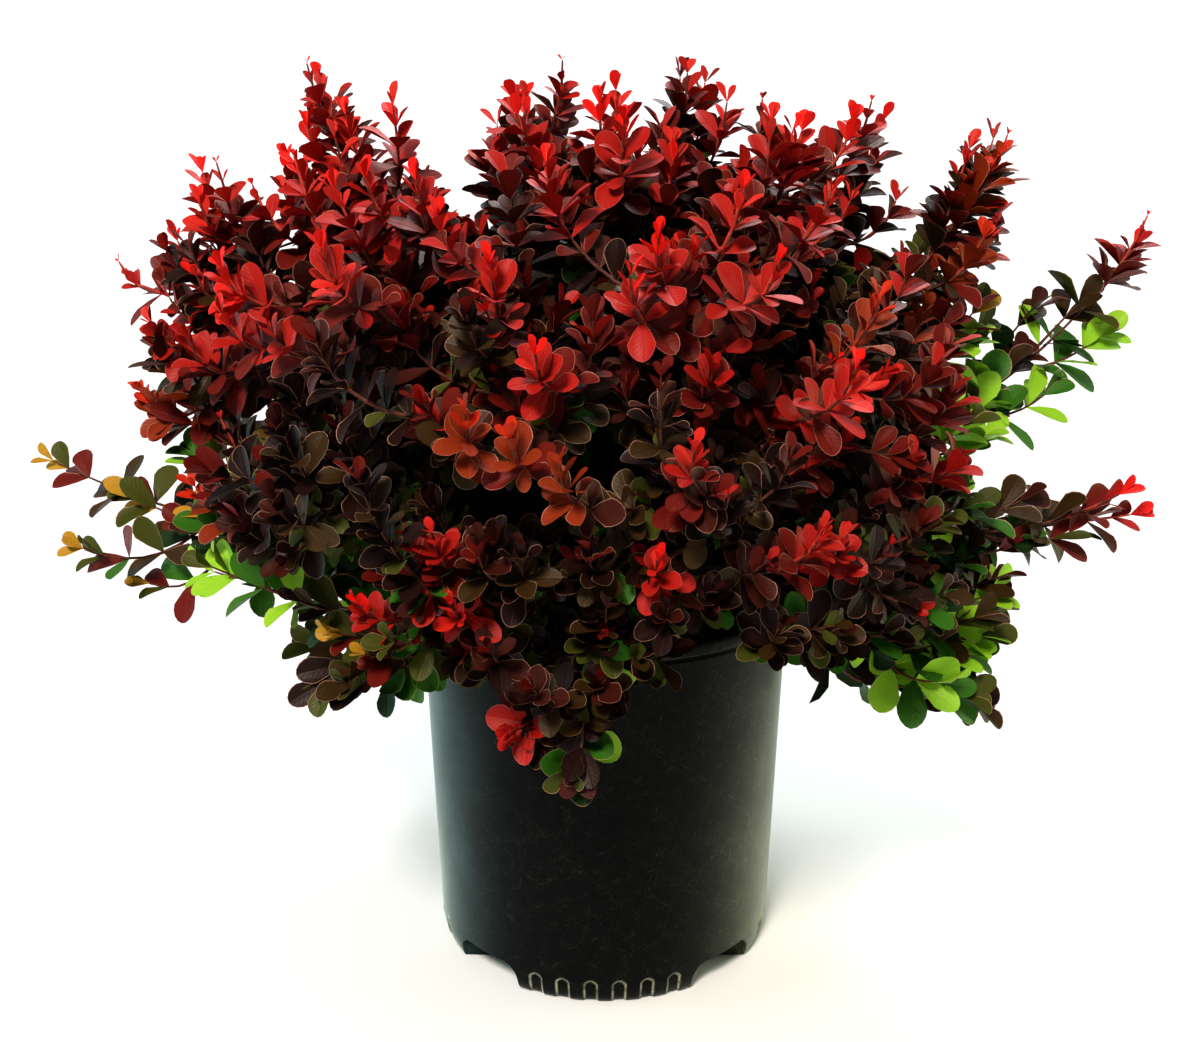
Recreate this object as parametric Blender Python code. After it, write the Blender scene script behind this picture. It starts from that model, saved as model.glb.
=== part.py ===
"""A potted Crimson Pygmy Japanese barberry, modelled in metres with +Z up.

The origin is the middle of the pot's flat underside, on the ground, and the front is -Y.
From the ground up there are a thin plastic pot with four feet, the soil in it, a short woody
crown that all the canes spring from, one tapering cane for each mass of leaves, and the masses.

Every mass owns the directions, seen from the middle of the woody crown, that lie nearer to its
own direction than to any other's. Its cane, its shoots and its leaves stay among them, so the
masses never meet. The same rule places everything: a direction, and how far along it.
"""

import math
import random

import bmesh
import bpy
from mathutils import Matrix, Vector

MM = 0.001

# Gaps and round pieces
CLEAR = 0.3 * MM
WELD = 0.002 * MM
TURN_STEPS = 48
FINE_TURN_STEPS = 20

# Pot
POT_HEIGHT = 220 * MM
RIM_RADIUS = 114.5 * MM
RIM_BAND = 8 * MM
NECK_RADIUS = 113.3 * MM
GROOVE_DEPTH = 1.0 * MM
BASE_RADIUS = 106.3 * MM
FOOT_RADIUS = 102.5 * MM
CORNER_HEIGHT = 13 * MM
POT_WALL = 2.0 * MM

# Arches between the four feet, each with a drain hole at its back; each arch is turned this far
# from the front or from the back
ARCH_TURN = 42.5
ARCH_HALF_WIDTH = 24.5 * MM
ARCH_HEIGHT = 16.5 * MM
ARCH_CORNER = 10 * MM
ARCH_STEPS = 4
ARCH_INNER_RADIUS = 85 * MM
ARCH_INNER_HALF_WIDTH = 7.5 * MM
ARCH_FACE_RADIUS = 99.5 * MM
DRAIN_RADIUS = 4.5 * MM
DRAIN_STEPS = 8
OUTSIDE = 130 * MM

# Soil and woody crown
SOIL_TOP = 200 * MM
HEART = Vector((0.0, 0.0, 235 * MM))
HEAD_RADIUS = 26 * MM
HEAD_STEPS = 8
NECK_DEPTH = 0.78
WAIST_RADIUS = 19 * MM
WAIST_HEIGHT = 12 * MM
FLARE_RADIUS = 31 * MM
FLARE_SHOULDER = 0.82
FLARE_LOBES = 5
FLARE_LOBE = 0.10

# Canes and shoots
CANE_RADIUS = 3.1 * MM
CANE_TIP_RADIUS = 2.3 * MM
CANE_SIDES = 5
CANE_STEPS = 3
CANE_SHARE = 0.42
TURN_POWER = 2.2
START_PULL = 0.25
START_TRIES = 12
STEM_RADIUS = 2.1 * MM
TWIG_RADIUS = 1.5 * MM
TWIG_TIP_RADIUS = 0.6 * MM
TWIG_SIDES = 3
TWIG_STEPS = 3
SPACE_MARGIN = 0.5 * MM

# Shoot tips
SHOOTS = 96
LOWEST_RISE = -24.0
SKIRT = 13.0
GOLDEN_ANGLE = math.radians(137.508)
TIP_PULL = 0.12
REACH_SHARPNESS = 26
SHORTEST_SHOOT = 0.84
TIP_LIFT = 0.55

# Where a side shoot leaves the stem, as a share of its reach: the further it turns from the
# stem (degrees), the lower it leaves
HIGHEST_LEAVE = 0.74
LOWEST_LEAVE = 0.50
LEAVE_SLOPE = 0.012

# Leaves, larger than life because there are fewer than on the real shrub
LEAF_LENGTH = 55 * MM
TIP_LEAF_LENGTH = 34 * MM
LEAF_SPREAD_TIP = 24.0
LEAF_SPREAD_BASE = 78.0
LEAF_WIDTH = 0.56
LEAF_WIDEST = 0.62
LEAF_MIDDLE = 0.55
LEAF_THICKNESS = 1.3 * MM
LEAF_CUP = 2.2 * MM
LEAF_ROOT_DEPTH = 0.9 * MM
TIP_LEAF_STAND = TIP_LEAF_LENGTH * math.cos(math.radians(LEAF_SPREAD_TIP))
LEAVES_ON_LEAD = 6
LEAVES_ON_TWIG = 4
LEAFY_LENGTH = 104 * MM
LEAF_APART = 11 * MM
LEAF_TRIES = ((1.0, 0), (1.0, 28), (1.0, -28), (0.8, 0), (0.8, 50), (0.8, -50), (0.65, 0))
LIMB_CLEAR = 3 * MM

# A leaf or twig near the pot is clear of it where it lies past one of these planes, which
# touch the rim's edge and lean outwards by these amounts
POT_CLEAR = 2.5 * MM
POT_PLANES = (0.0, 0.6, 1.2)

# The masses of leaves: how far each is turned from the front towards the right, how much its
# tip rises above level (degrees), the reach of its longest shoot and of its other shoots from
# the middle of the woody crown (mm), and how much higher than its tip its cane sets out
MASSES = (
    ("upper_left_spire", -100, 60, 350, 288, -8),
    ("top_centre_left", -136, 76, 301, 276, 0),
    ("top_centre", 10, 83, 297, 280, 0),
    ("top_centre_right", 142, 71, 325, 280, -4),
    ("top_right", 66, 66, 291, 278, -4),
    ("upper_right", 120, 53, 358, 290, -8),
    ("right_spire", 88, 48, 342, 285, -8),
    ("right_long_shoot", 98, 31, 398, 262, -16),
    ("right_mid_shoot", 82, 8, 322, 262, -2),
    ("right_low", 73, -17, 244, 226, 28),
    ("left_shoulder", -84, 42, 336, 298, -8),
    ("left_low_shoot", -93, 11, 363, 275, -8),
    ("lower_left_drop", -56, -13, 198, 190, 26),
    ("front_left_upper", -52, 53, 290, 278, -6),
    ("front_left", -52, 20, 268, 258, 0),
    ("front_low_left", -22, 9, 232, 226, 8),
    ("front_drape", -4, -19, 197, 186, 30),
    ("front_centre_left", -16, 41, 272, 262, 0),
    ("front_centre_right", 15, 50, 264, 260, 0),
    ("front_mid_right", 11, 22, 262, 250, 0),
    ("front_right", 40, 34, 255, 250, 0),
    ("front_right_low", 40, 6, 238, 228, 8),
    ("back_upper", -172, 50, 300, 280, -6),
    ("back_left_upper", -132, 42, 305, 285, -6),
    ("back_right_upper", 152, 38, 298, 280, -6),
    ("back_left_low", -134, 10, 290, 262, 6),
    ("back_low", -176, 12, 280, 258, 6),
    ("back_right_low", 134, 12, 292, 262, 6),
)

SEED = 1942


def clear_scene():
    """Remove every object that is there."""
    for item in list(bpy.data.objects):
        bpy.data.objects.remove(item, do_unlink=True)


def material(name, colour, roughness, metallic=0.0):
    """A Principled material; colour is linear red, green, blue."""
    result = bpy.data.materials.new(name)
    result.use_nodes = True
    shader = result.node_tree.nodes["Principled BSDF"]
    shader.inputs["Base Color"].default_value = (*colour, 1.0)
    shader.inputs["Roughness"].default_value = roughness
    shader.inputs["Metallic"].default_value = metallic
    return result


def new_object(name, vertices, faces, finish=None):
    """A mesh object with its faces pointing out."""
    mesh = bpy.data.meshes.new(name)
    mesh.from_pydata([tuple(v) for v in vertices], [], faces)
    work = bmesh.new()
    work.from_mesh(mesh)
    bmesh.ops.recalc_face_normals(work, faces=work.faces)
    work.to_mesh(mesh)
    work.free()
    result = bpy.data.objects.new(name, mesh)
    bpy.context.scene.collection.objects.link(result)
    if finish:
        mesh.materials.append(finish)
    return result


def turned(name, profile, steps, finish=None, lobes=None):
    """A solid turned about the vertical axis; the profile runs from the axis back to the axis."""
    vertices = []
    rings = []
    for radius, height in profile:
        if radius == 0.0:
            rings.append([len(vertices)])
            vertices.append(Vector((0.0, 0.0, height)))
            continue
        rings.append(list(range(len(vertices), len(vertices) + steps)))
        for step in range(steps):
            angle = 2 * math.pi * step / steps
            swell = lobes(angle, height) if lobes else 1.0
            vertices.append(Vector((radius * swell * math.cos(angle),
                                    radius * swell * math.sin(angle), height)))
    faces = []
    for low, high in zip(rings, rings[1:]):
        for step in range(steps):
            after = (step + 1) % steps
            if len(low) == 1:
                faces.append((low[0], high[after], high[step]))
            elif len(high) == 1:
                faces.append((low[step], low[after], high[0]))
            else:
                faces.append((low[step], low[after], high[after], high[step]))
    return new_object(name, vertices, faces, finish)


def volume_of(faces):
    """Signed volume that these faces close."""
    total = 0.0
    for face in faces:
        corners = [loop.vert.co for loop in face.loops]
        for second, third in zip(corners[1:], corners[2:]):
            total += corners[0].dot(second.cross(third)) / 6
    return total


def bodies_of(work):
    """The separate bodies of a mesh, as lists of faces, the largest one last."""
    seen = set()
    bodies = []
    for face in work.faces:
        if face in seen:
            continue
        body = [face]
        seen.add(face)
        for member in body:
            for edge in member.edges:
                for neighbour in edge.link_faces:
                    if neighbour not in seen:
                        seen.add(neighbour)
                        body.append(neighbour)
        bodies.append(body)
    return sorted(bodies, key=volume_of)


def keep_one_body(mesh, weld):
    """Drop loose scraps and sealed hollows; True where one closed body is left."""
    work = bmesh.new()
    work.from_mesh(mesh)
    if weld:
        bmesh.ops.remove_doubles(work, verts=work.verts, dist=weld)
        bmesh.ops.dissolve_degenerate(work, edges=work.edges, dist=weld)
    bmesh.ops.triangulate(work, faces=work.faces)
    for body in bodies_of(work)[:-1]:
        bmesh.ops.delete(work, geom=body, context="FACES")
    loose = [vertex for vertex in work.verts if not vertex.link_faces]
    bmesh.ops.delete(work, geom=loose, context="VERTS")
    closed = all(edge.is_manifold and edge.is_contiguous for edge in work.edges)
    work.to_mesh(mesh)
    work.free()
    return closed


def combine(target, others, operation):
    """Join the others to the target, or cut them from it; False where no solver closes it."""
    group = bpy.data.collections.new(target.name + "_operands")
    for other in others:
        group.objects.link(other)
    modifier = target.modifiers.new("combine", "BOOLEAN")
    modifier.operation = operation
    modifier.operand_type = "COLLECTION"
    modifier.collection = group
    for solver, weld in (("EXACT", 0.0), ("MANIFOLD", 0.0), ("EXACT", WELD), ("MANIFOLD", WELD)):
        modifier.solver = solver
        evaluated = target.evaluated_get(bpy.context.evaluated_depsgraph_get())
        mesh = bpy.data.meshes.new_from_object(evaluated)
        closed = keep_one_body(mesh, weld)
        if closed:
            break
    target.modifiers.remove(modifier)
    if closed:
        target.data = mesh
        mesh.name = target.name
    for other in others:
        bpy.data.objects.remove(other, do_unlink=True)
    bpy.data.collections.remove(group)
    return closed


def wall_radius(height):
    """Outer radius of the pot's wall, with its rounded corner at the ground."""
    straight = BASE_RADIUS + (NECK_RADIUS - BASE_RADIUS) * height / (POT_HEIGHT - RIM_BAND)
    if height >= CORNER_HEIGHT:
        return straight
    short = 1.0 - max(height, 0.0) / CORNER_HEIGHT
    return straight - (BASE_RADIUS - FOOT_RADIUS) * (1.0 - math.sqrt(1.0 - short * short))


def arch_block(name, turn, grow):
    """The block an arch takes away, narrower inside, grown by a wall's thickness."""
    outline = [(ARCH_HALF_WIDTH + grow, -5 * MM)]
    corner = ARCH_CORNER + grow
    for step in range(ARCH_STEPS + 1):
        angle = 0.5 * math.pi * step / ARCH_STEPS
        outline.append((ARCH_HALF_WIDTH + grow - corner * (1 - math.cos(angle)),
                        ARCH_HEIGHT + grow - corner * (1 - math.sin(angle))))
    outline += [(-across, height) for across, height in reversed(outline)]
    narrow = (ARCH_INNER_HALF_WIDTH + grow) / (ARCH_HALF_WIDTH + grow)
    sections = ((ARCH_INNER_RADIUS - grow, narrow), (ARCH_FACE_RADIUS - 0.5 * grow, 1.0),
                (OUTSIDE, 1.0))
    vertices = [Vector((across * share, -out, height))
                for out, share in sections for across, height in outline]
    count = len(outline)
    last = count * len(sections) - 1
    faces = [tuple(range(count)), tuple(range(last, last - count, -1))]
    for first in range(0, last - count, count):
        for index in range(count):
            after = (index + 1) % count
            low, high = first + index, first + after
            faces += [(low, high, count + high), (low, count + high, count + low)]
    spin = Matrix.Rotation(math.radians(turn), 3, "Z")
    return new_object(name, [spin @ vertex for vertex in vertices], faces)


def drain_block(name, turn):
    """The round drain hole in the back of an arch."""
    vertices = []
    for out in (ARCH_INNER_RADIUS - 3 * POT_WALL, ARCH_INNER_RADIUS + POT_WALL):
        for step in range(DRAIN_STEPS):
            angle = 2 * math.pi * (step + 0.5) / DRAIN_STEPS
            vertices.append(Vector((DRAIN_RADIUS * math.cos(angle), -out,
                                    0.5 * ARCH_HEIGHT + DRAIN_RADIUS * math.sin(angle))))
    faces = [tuple(range(DRAIN_STEPS)), tuple(range(2 * DRAIN_STEPS - 1, DRAIN_STEPS - 1, -1))]
    for step in range(DRAIN_STEPS):
        after = (step + 1) % DRAIN_STEPS
        faces.append((step, after, DRAIN_STEPS + after, DRAIN_STEPS + step))
    spin = Matrix.Rotation(math.radians(turn), 3, "Z")
    return new_object(name, [spin @ vertex for vertex in vertices], faces)


def arch_turns():
    """Directions of the arches between the four feet, two to the front and two to the back."""
    return [ARCH_TURN, 180.0 - ARCH_TURN, 180.0 + ARCH_TURN, 360.0 - ARCH_TURN]


def make_pot(finish):
    """Thin tapered pot: rim band over a groove, four feet, arches with drain holes."""
    neck = POT_HEIGHT - RIM_BAND
    profile = [(0.0, 0.0), (FOOT_RADIUS, 0.0)]
    for height in (2 * MM, 6 * MM, CORNER_HEIGHT):
        profile.append((wall_radius(height), height))
    profile += [
        (wall_radius(neck - 3 * MM), neck - 3 * MM),
        (NECK_RADIUS - GROOVE_DEPTH, neck - 1 * MM),
        (NECK_RADIUS - GROOVE_DEPTH, neck),
        (RIM_RADIUS - 0.3 * MM, neck + 1.2 * MM),
        (RIM_RADIUS, POT_HEIGHT - 1.5 * MM),
        (RIM_RADIUS - 1.1 * MM, POT_HEIGHT),
        (0.0, POT_HEIGHT),
    ]
    pot = turned("pot", profile, TURN_STEPS, finish)
    blocks = [arch_block("arch_cut_%d" % index, turn, 0.0)
              for index, turn in enumerate(arch_turns())]
    combine(pot, blocks, "DIFFERENCE")
    combine(pot, [inner_body("cavity", 0.0, POT_HEIGHT + 10 * MM)], "DIFFERENCE")
    drains = [drain_block("drain_%d" % index, turn) for index, turn in enumerate(arch_turns())]
    combine(pot, drains, "DIFFERENCE")
    return pot


def inner_body(name, gap, top):
    """What the pot's wall and arches leave inside, a gap clear of them, up to a height."""
    floor = POT_WALL + gap
    heights = (floor, floor + 8 * MM, POT_HEIGHT - RIM_BAND)
    profile = [(0.0, floor)]
    for height in heights:
        profile.append((wall_radius(height) - POT_WALL - gap, height))
    profile += [(profile[-1][0], top), (0.0, top)]
    if top < heights[-1]:
        profile[-3] = (wall_radius(top) - POT_WALL - gap, top)
        del profile[-2]
    body = turned(name, profile, TURN_STEPS)
    blocks = [arch_block("%s_arch_%d" % (name, index), turn, POT_WALL + gap)
              for index, turn in enumerate(arch_turns())]
    combine(body, blocks, "DIFFERENCE")
    return body


def make_soil(finish):
    """The potting mix, flat on top, in the pot with a hair's gap."""
    soil = inner_body("soil", CLEAR, SOIL_TOP)
    soil.data.materials.clear()
    soil.data.materials.append(finish)
    return soil


def make_root_crown(finish):
    """The short woody stem: flat cut at the soil, flared foot, waist, round head."""
    bottom = SOIL_TOP + CLEAR
    waist = SOIL_TOP + WAIST_HEIGHT
    profile = [(0.0, bottom), (FLARE_RADIUS, bottom), (FLARE_SHOULDER * FLARE_RADIUS, bottom + 3 * MM),
               (WAIST_RADIUS, waist)]
    low = math.asin(NECK_DEPTH * (waist - HEART.z) / HEAD_RADIUS)
    for step in range(HEAD_STEPS + 1):
        angle = low + (0.5 * math.pi - low) * step / HEAD_STEPS
        radius = HEAD_RADIUS * math.cos(angle) if step < HEAD_STEPS else 0.0
        profile.append((radius, HEART.z + HEAD_RADIUS * math.sin(angle)))

    def lobes(angle, height):
        fade = max(0.0, 1.0 - (height - bottom) / WAIST_HEIGHT)
        return 1.0 + FLARE_LOBE * fade * math.cos(FLARE_LOBES * angle)

    return turned("root_crown", profile, FINE_TURN_STEPS, finish, lobes)


def direction(turn, rise):
    """Unit vector; turn is measured from the front towards the right, both in degrees."""
    around, up = math.radians(turn), math.radians(rise)
    return Vector((math.sin(around) * math.cos(up), -math.cos(around) * math.cos(up),
                   math.sin(up)))


def rise_of(way):
    """Rise of a unit vector above level, in degrees."""
    return math.degrees(math.asin(max(-1.0, min(1.0, way.z))))


class Mass:
    """One mass: where it points, how far it reaches, and the space it keeps to."""

    def __init__(self, index, row):
        self.name, turn, rise, reach, body, sag = row
        self.index = index
        self.tip = direction(turn, rise)
        self.start = direction(turn, rise + sag)
        self.site = direction(turn, rise + 0.5 * sag)
        self.rise = rise
        self.reach = reach * MM
        self.body = body * MM
        self.cane_end = CANE_SHARE * self.body
        self.walls = []

    def way(self, radius):
        """Direction of the main shoot at a distance from the heart."""
        share = (radius - HEAD_RADIUS) / (self.reach - HEAD_RADIUS)
        share = max(0.0, min(1.0, share)) ** TURN_POWER
        return self.start.slerp(self.tip, share)

    def point(self, radius):
        """Place of the main shoot at a distance from the heart."""
        return HEART + self.way(radius) * radius

    def holds(self, place, margin):
        """True where the place lies in this mass's space by the margin."""
        offset = place - HEART
        return all(offset.dot(wall) >= margin for wall in self.walls)


def make_masses():
    """The masses, each with the walls that part it from the others."""
    masses = [Mass(index, row) for index, row in enumerate(MASSES)]
    for mass in masses:
        for other in masses:
            if other is not mass:
                mass.walls.append((mass.site - other.site).normalized())
        for _ in range(START_TRIES):
            if mass.holds(HEART + mass.start * HEAD_RADIUS, CANE_RADIUS + SPACE_MARGIN):
                break
            mass.start = mass.start.slerp(mass.site, START_PULL)
    return masses


def local_reach(masses, way):
    """How far the crown's body reaches along a direction, blended from the masses' own."""
    total = weight = 0.0
    for mass in masses:
        share = max(0.0, way.dot(mass.tip)) ** REACH_SHARPNESS
        total += share * mass.body
        weight += share
    return total / weight


def shoot_tips(masses, count):
    """Directions spread evenly by the golden angle, dealt to the mass that owns each."""
    tips = [[] for _ in masses]
    lowest = math.sin(math.radians(LOWEST_RISE))
    for index in range(count):
        up = lowest + (1.0 - lowest) * (index + 0.5) / count
        around = index * GOLDEN_ANGLE
        flat = math.sqrt(1.0 - up * up)
        way = Vector((flat * math.cos(around), flat * math.sin(around), up))
        owner = max(masses, key=lambda mass: way.dot(mass.site))
        if rise_of(way) < owner.rise - SKIRT:
            continue
        tips[owner.index].append(way.slerp(owner.site, TIP_PULL))
    return tips


def tube(name, points, radii, sides, finish=None):
    """A closed tapering tube along points."""
    vertices = []
    across = None
    for index, point in enumerate(points):
        before = points[max(index - 1, 0)]
        after = points[min(index + 1, len(points) - 1)]
        along = (after - before).normalized()
        if across is None:
            across = along.orthogonal().normalized()
        across = (across - along * across.dot(along)).normalized()
        side = along.cross(across)
        for corner in range(sides):
            angle = 2 * math.pi * corner / sides
            vertices.append(point + radii[index] * (across * math.cos(angle)
                                                    + side * math.sin(angle)))
    faces = [tuple(range(sides - 1, -1, -1))]
    last = len(vertices) - sides
    faces.append(tuple(range(last, last + sides)))
    for ring in range(len(points) - 1):
        for corner in range(sides):
            after = (corner + 1) % sides
            low, high = ring * sides, (ring + 1) * sides
            faces.append((low + corner, low + after, high + after, high + corner))
    return new_object(name, vertices, faces, finish)


def make_cane(mass, finish):
    """The bough from the woody crown to where it enters its mass."""
    first = HEAD_RADIUS + CLEAR
    points = []
    radii = []
    for step in range(CANE_STEPS + 1):
        share = step / CANE_STEPS
        points.append(mass.point(first + (mass.cane_end - first) * share))
        radii.append(CANE_RADIUS + (CANE_TIP_RADIUS - CANE_RADIUS) * share)
    return tube("cane_" + mass.name, points, radii, CANE_SIDES, finish)


def bend(first, control, last, share):
    """Point on a curve that leaves first towards control and comes to last from it."""
    rest = 1.0 - share
    return first * (rest * rest) + control * (2 * rest * share) + last * (share * share)


def main_shoot(mass):
    """Centre line of the mass's stem, up to where its last leaf stands on to the reach."""
    first = mass.cane_end + CLEAR
    last = mass.reach - TIP_LEAF_STAND
    steps = 2 * TWIG_STEPS
    return [mass.point(first + (last - first) * step / steps) for step in range(steps + 1)]


def side_shoot(mass, way, reach, chance):
    """Centre line of a side shoot that leaves the stem and turns up to its tip."""
    tip = HEART + way * reach
    apart = math.degrees(mass.way(reach).angle(way))
    share = max(LOWEST_LEAVE, HIGHEST_LEAVE - LEAVE_SLOPE * apart)
    leave = reach * share * chance.uniform(0.96, 1.04)
    leave = max(leave, mass.cane_end + 6 * MM)
    root = mass.point(leave)
    length = (tip - root).length
    upward = (way + Vector((0.0, 0.0, TIP_LIFT))).normalized()
    control = tip - upward * (0.5 * length)
    if not mass.holds(control, TWIG_RADIUS + SPACE_MARGIN):
        control = 0.5 * (root + tip)
    return [bend(root, control, tip, step / TWIG_STEPS) for step in range(TWIG_STEPS + 1)]


def leaf_places(path, count, leafy):
    """Places, shoot directions and age (0 at the tip) of the leaves along a shoot."""
    lengths = [0.0]
    for before, after in zip(path, path[1:]):
        lengths.append(lengths[-1] + (after - before).length)
    total = lengths[-1]
    leafy = min(leafy, 0.8 * total)
    for index in range(count):
        age = index / (count - 1)
        along = total - leafy * age
        for step in range(1, len(path)):
            if along <= lengths[step] or step == len(path) - 1:
                share = (along - lengths[step - 1]) / (lengths[step] - lengths[step - 1])
                place = path[step - 1].lerp(path[step], min(1.0, share))
                yield place, (path[step] - path[step - 1]).normalized(), age
                break


def leaf_points(root, along, up, length):
    """The corners of one leaf: root, two sides, tip, and the middle's top and bottom."""
    side = along.cross(up).normalized()
    up = side.cross(along).normalized()
    half = 0.5 * LEAF_WIDTH * length
    middle = root + along * (LEAF_MIDDLE * length) - up * (LEAF_CUP * length / LEAF_LENGTH)
    wide = root + along * (LEAF_WIDEST * length)
    return [root, wide - side * half, root + along * length, wide + side * half,
            middle + up * (0.5 * LEAF_THICKNESS), middle - up * (0.5 * LEAF_THICKNESS)]


LEAF_FACES = ((0, 1, 4), (1, 2, 4), (2, 3, 4), (3, 0, 4),
              (1, 0, 5), (2, 1, 5), (3, 2, 5), (0, 3, 5))


def clear_of_pot(points):
    """True where all points lie above the rim, outside it, or past its slanting corner."""
    if all(point.z > POT_HEIGHT + POT_CLEAR for point in points):
        return True
    middle = sum(points, Vector()) / len(points)
    out = Vector((middle.x, middle.y, 0.0)).normalized()
    for lift in POT_PLANES:
        wall = (out + Vector((0.0, 0.0, lift))).normalized()
        limit = wall.dot(out * RIM_RADIUS + Vector((0.0, 0.0, POT_HEIGHT))) + POT_CLEAR
        if all(point.dot(wall) > limit for point in points):
            return True
    return False


def leaf_fits(mass, points):
    """True where a leaf keeps to its mass's space, clear of limbs and pot."""
    if not all(mass.holds(point, SPACE_MARGIN) for point in points):
        return False
    if any((point - HEART).length < mass.cane_end + LIMB_CLEAR for point in points):
        return False
    return clear_of_pot(points)


def twig_fits(mass, path):
    """True where a side shoot keeps to its mass's space and every part of it misses the pot."""
    if not all(mass.holds(point, TWIG_RADIUS + SPACE_MARGIN) for point in path):
        return False
    if any((point - HEART).length < mass.cane_end + LIMB_CLEAR for point in path):
        return False
    return all(clear_of_pot(pair) for pair in zip(path, path[1:]))


def crowded(points, leaves):
    """True where a leaf would lie across one that is already there."""
    for other in leaves:
        for mine in (points[4], points[2]):
            if min((mine - other[4]).length, (mine - other[2]).length) < LEAF_APART:
                return True
    return False


def grow_leaves(mass, path, count, leaves, chance):
    """Leaves along one shoot, each about a golden angle on from the last."""
    turn = chance.uniform(0, 2 * math.pi)
    for place, along, age in leaf_places(path, count, LEAFY_LENGTH):
        turn += GOLDEN_ANGLE
        spread = LEAF_SPREAD_TIP + (LEAF_SPREAD_BASE - LEAF_SPREAD_TIP) * age
        spread = math.radians(spread + chance.uniform(-8, 8))
        length = TIP_LEAF_LENGTH + (LEAF_LENGTH - TIP_LEAF_LENGTH) * min(1.0, 1.6 * age)
        length *= chance.uniform(0.92, 1.08)
        across = along.orthogonal().normalized()
        for narrower, twist in LEAF_TRIES:
            side = Matrix.Rotation(turn + math.radians(twist), 3, along) @ across
            pointing = along * math.cos(narrower * spread) + side * math.sin(narrower * spread)
            root = place - along * LEAF_ROOT_DEPTH
            points = leaf_points(root, pointing, along - side * 0.2, length * narrower)
            if leaf_fits(mass, points) and not crowded(points, leaves):
                leaves.append(points)
                break


def make_foliage(mass, tips, masses, finish):
    """A mass: its stem, side shoots and leaves, joined to one body."""
    chance = random.Random(SEED + mass.index)
    stem = main_shoot(mass)
    steps = len(stem) - 1
    radii = [STEM_RADIUS + (TWIG_TIP_RADIUS - STEM_RADIUS) * step / steps
             for step in range(steps + 1)]
    body = tube("foliage_" + mass.name, stem, radii, TWIG_SIDES, finish)
    twigs = []
    leaves = []
    grow_leaves(mass, stem, LEAVES_ON_LEAD, leaves, chance)
    for number, way in enumerate(tips):
        reach = local_reach(masses, way) * chance.uniform(SHORTEST_SHOOT, 1.0)
        path = side_shoot(mass, way, reach - TIP_LEAF_STAND, chance)
        if not twig_fits(mass, path):
            continue
        count = len(path) - 1
        radii = [TWIG_RADIUS + (TWIG_TIP_RADIUS - TWIG_RADIUS) * step / count
                 for step in range(count + 1)]
        twigs.append((path, radii))
        grow_leaves(mass, path, LEAVES_ON_TWIG, leaves, chance)
    while leaves:
        pieces = [tube("twig_%d" % number, path, radii, TWIG_SIDES)
                  for number, (path, radii) in enumerate(twigs)]
        pieces += [new_object("leaf_%d" % number, points, LEAF_FACES)
                   for number, points in enumerate(leaves)]
        if combine(body, pieces, "UNION"):
            break
        leaves.pop()
    body.data.materials.clear()
    body.data.materials.append(finish)
    print("%-28s %2d side shoots, %2d leaves, %4d triangles"
          % (body.name, len(twigs), len(leaves), len(body.data.polygons)))
    return body


def main():
    clear_scene()
    plastic = material("black_plastic", (0.010, 0.013, 0.014), 0.42)
    mix = material("potting_mix", (0.030, 0.018, 0.011), 0.95)
    bark = material("barberry_bark", (0.110, 0.060, 0.032), 0.80)
    leaf_red = material("barberry_leaves", (0.130, 0.012, 0.014), 0.45)
    make_pot(plastic)
    make_soil(mix)
    make_root_crown(bark)
    masses = make_masses()
    tips = shoot_tips(masses, SHOOTS)
    for mass in masses:
        make_cane(mass, bark)
        make_foliage(mass, tips[mass.index], masses, leaf_red)
    made = [item for item in bpy.context.scene.objects if item.type == "MESH"]
    print("%d nodes, %d faces" % (len(made), sum(len(item.data.polygons) for item in made)))


main()
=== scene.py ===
# %% [markdown]
# A potted Crimson Pygmy barberry
# The shrub is a mound of thin canes that all spring from one short woody crown. Each cane ends in
# a spray of upright shoots. The newest leaves at a shoot's tip are scarlet, those below are
# crimson, then maroon, and the old ones inside the mound turn olive and green. The pot is a thin
# black nursery container with four feet. This lesson builds it around a fixed frame of solids.

import math
import random

import bmesh
import bpy
import numpy as np
from mathutils import Matrix, Vector


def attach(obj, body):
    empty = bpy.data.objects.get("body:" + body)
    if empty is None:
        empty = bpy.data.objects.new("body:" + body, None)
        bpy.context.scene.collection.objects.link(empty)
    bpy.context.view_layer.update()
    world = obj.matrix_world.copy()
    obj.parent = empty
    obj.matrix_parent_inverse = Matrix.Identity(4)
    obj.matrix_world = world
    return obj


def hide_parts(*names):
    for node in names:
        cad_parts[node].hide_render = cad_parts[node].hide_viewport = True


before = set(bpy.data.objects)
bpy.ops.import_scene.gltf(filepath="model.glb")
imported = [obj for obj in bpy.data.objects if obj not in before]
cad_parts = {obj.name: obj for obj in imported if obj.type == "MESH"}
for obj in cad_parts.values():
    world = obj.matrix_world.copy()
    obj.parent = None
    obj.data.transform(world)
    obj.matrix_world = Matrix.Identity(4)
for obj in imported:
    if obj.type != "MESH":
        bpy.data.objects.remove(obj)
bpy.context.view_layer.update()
MM = 0.001
SEED = 1942
print("nodes in the frame:", len(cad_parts))

# %% [markdown]
# Colours and nodes
# A colour seen on the plant is written as the hex value a paint program shows, and one function
# turns it into the linear values that a shader wants. A second small function adds any node with
# its settings and links, which keeps every material and every geometry tree short.


# %% Colour and node helpers
def linear(hex_colour):
    """Linear red, green, blue and alpha of an sRGB hex colour."""
    parts = [int(hex_colour[i:i + 2], 16) / 255 for i in (1, 3, 5)]
    return [p / 12.92 if p <= 0.04045 else ((p + 0.055) / 1.055) ** 2.4 for p in parts] + [1.0]


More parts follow.
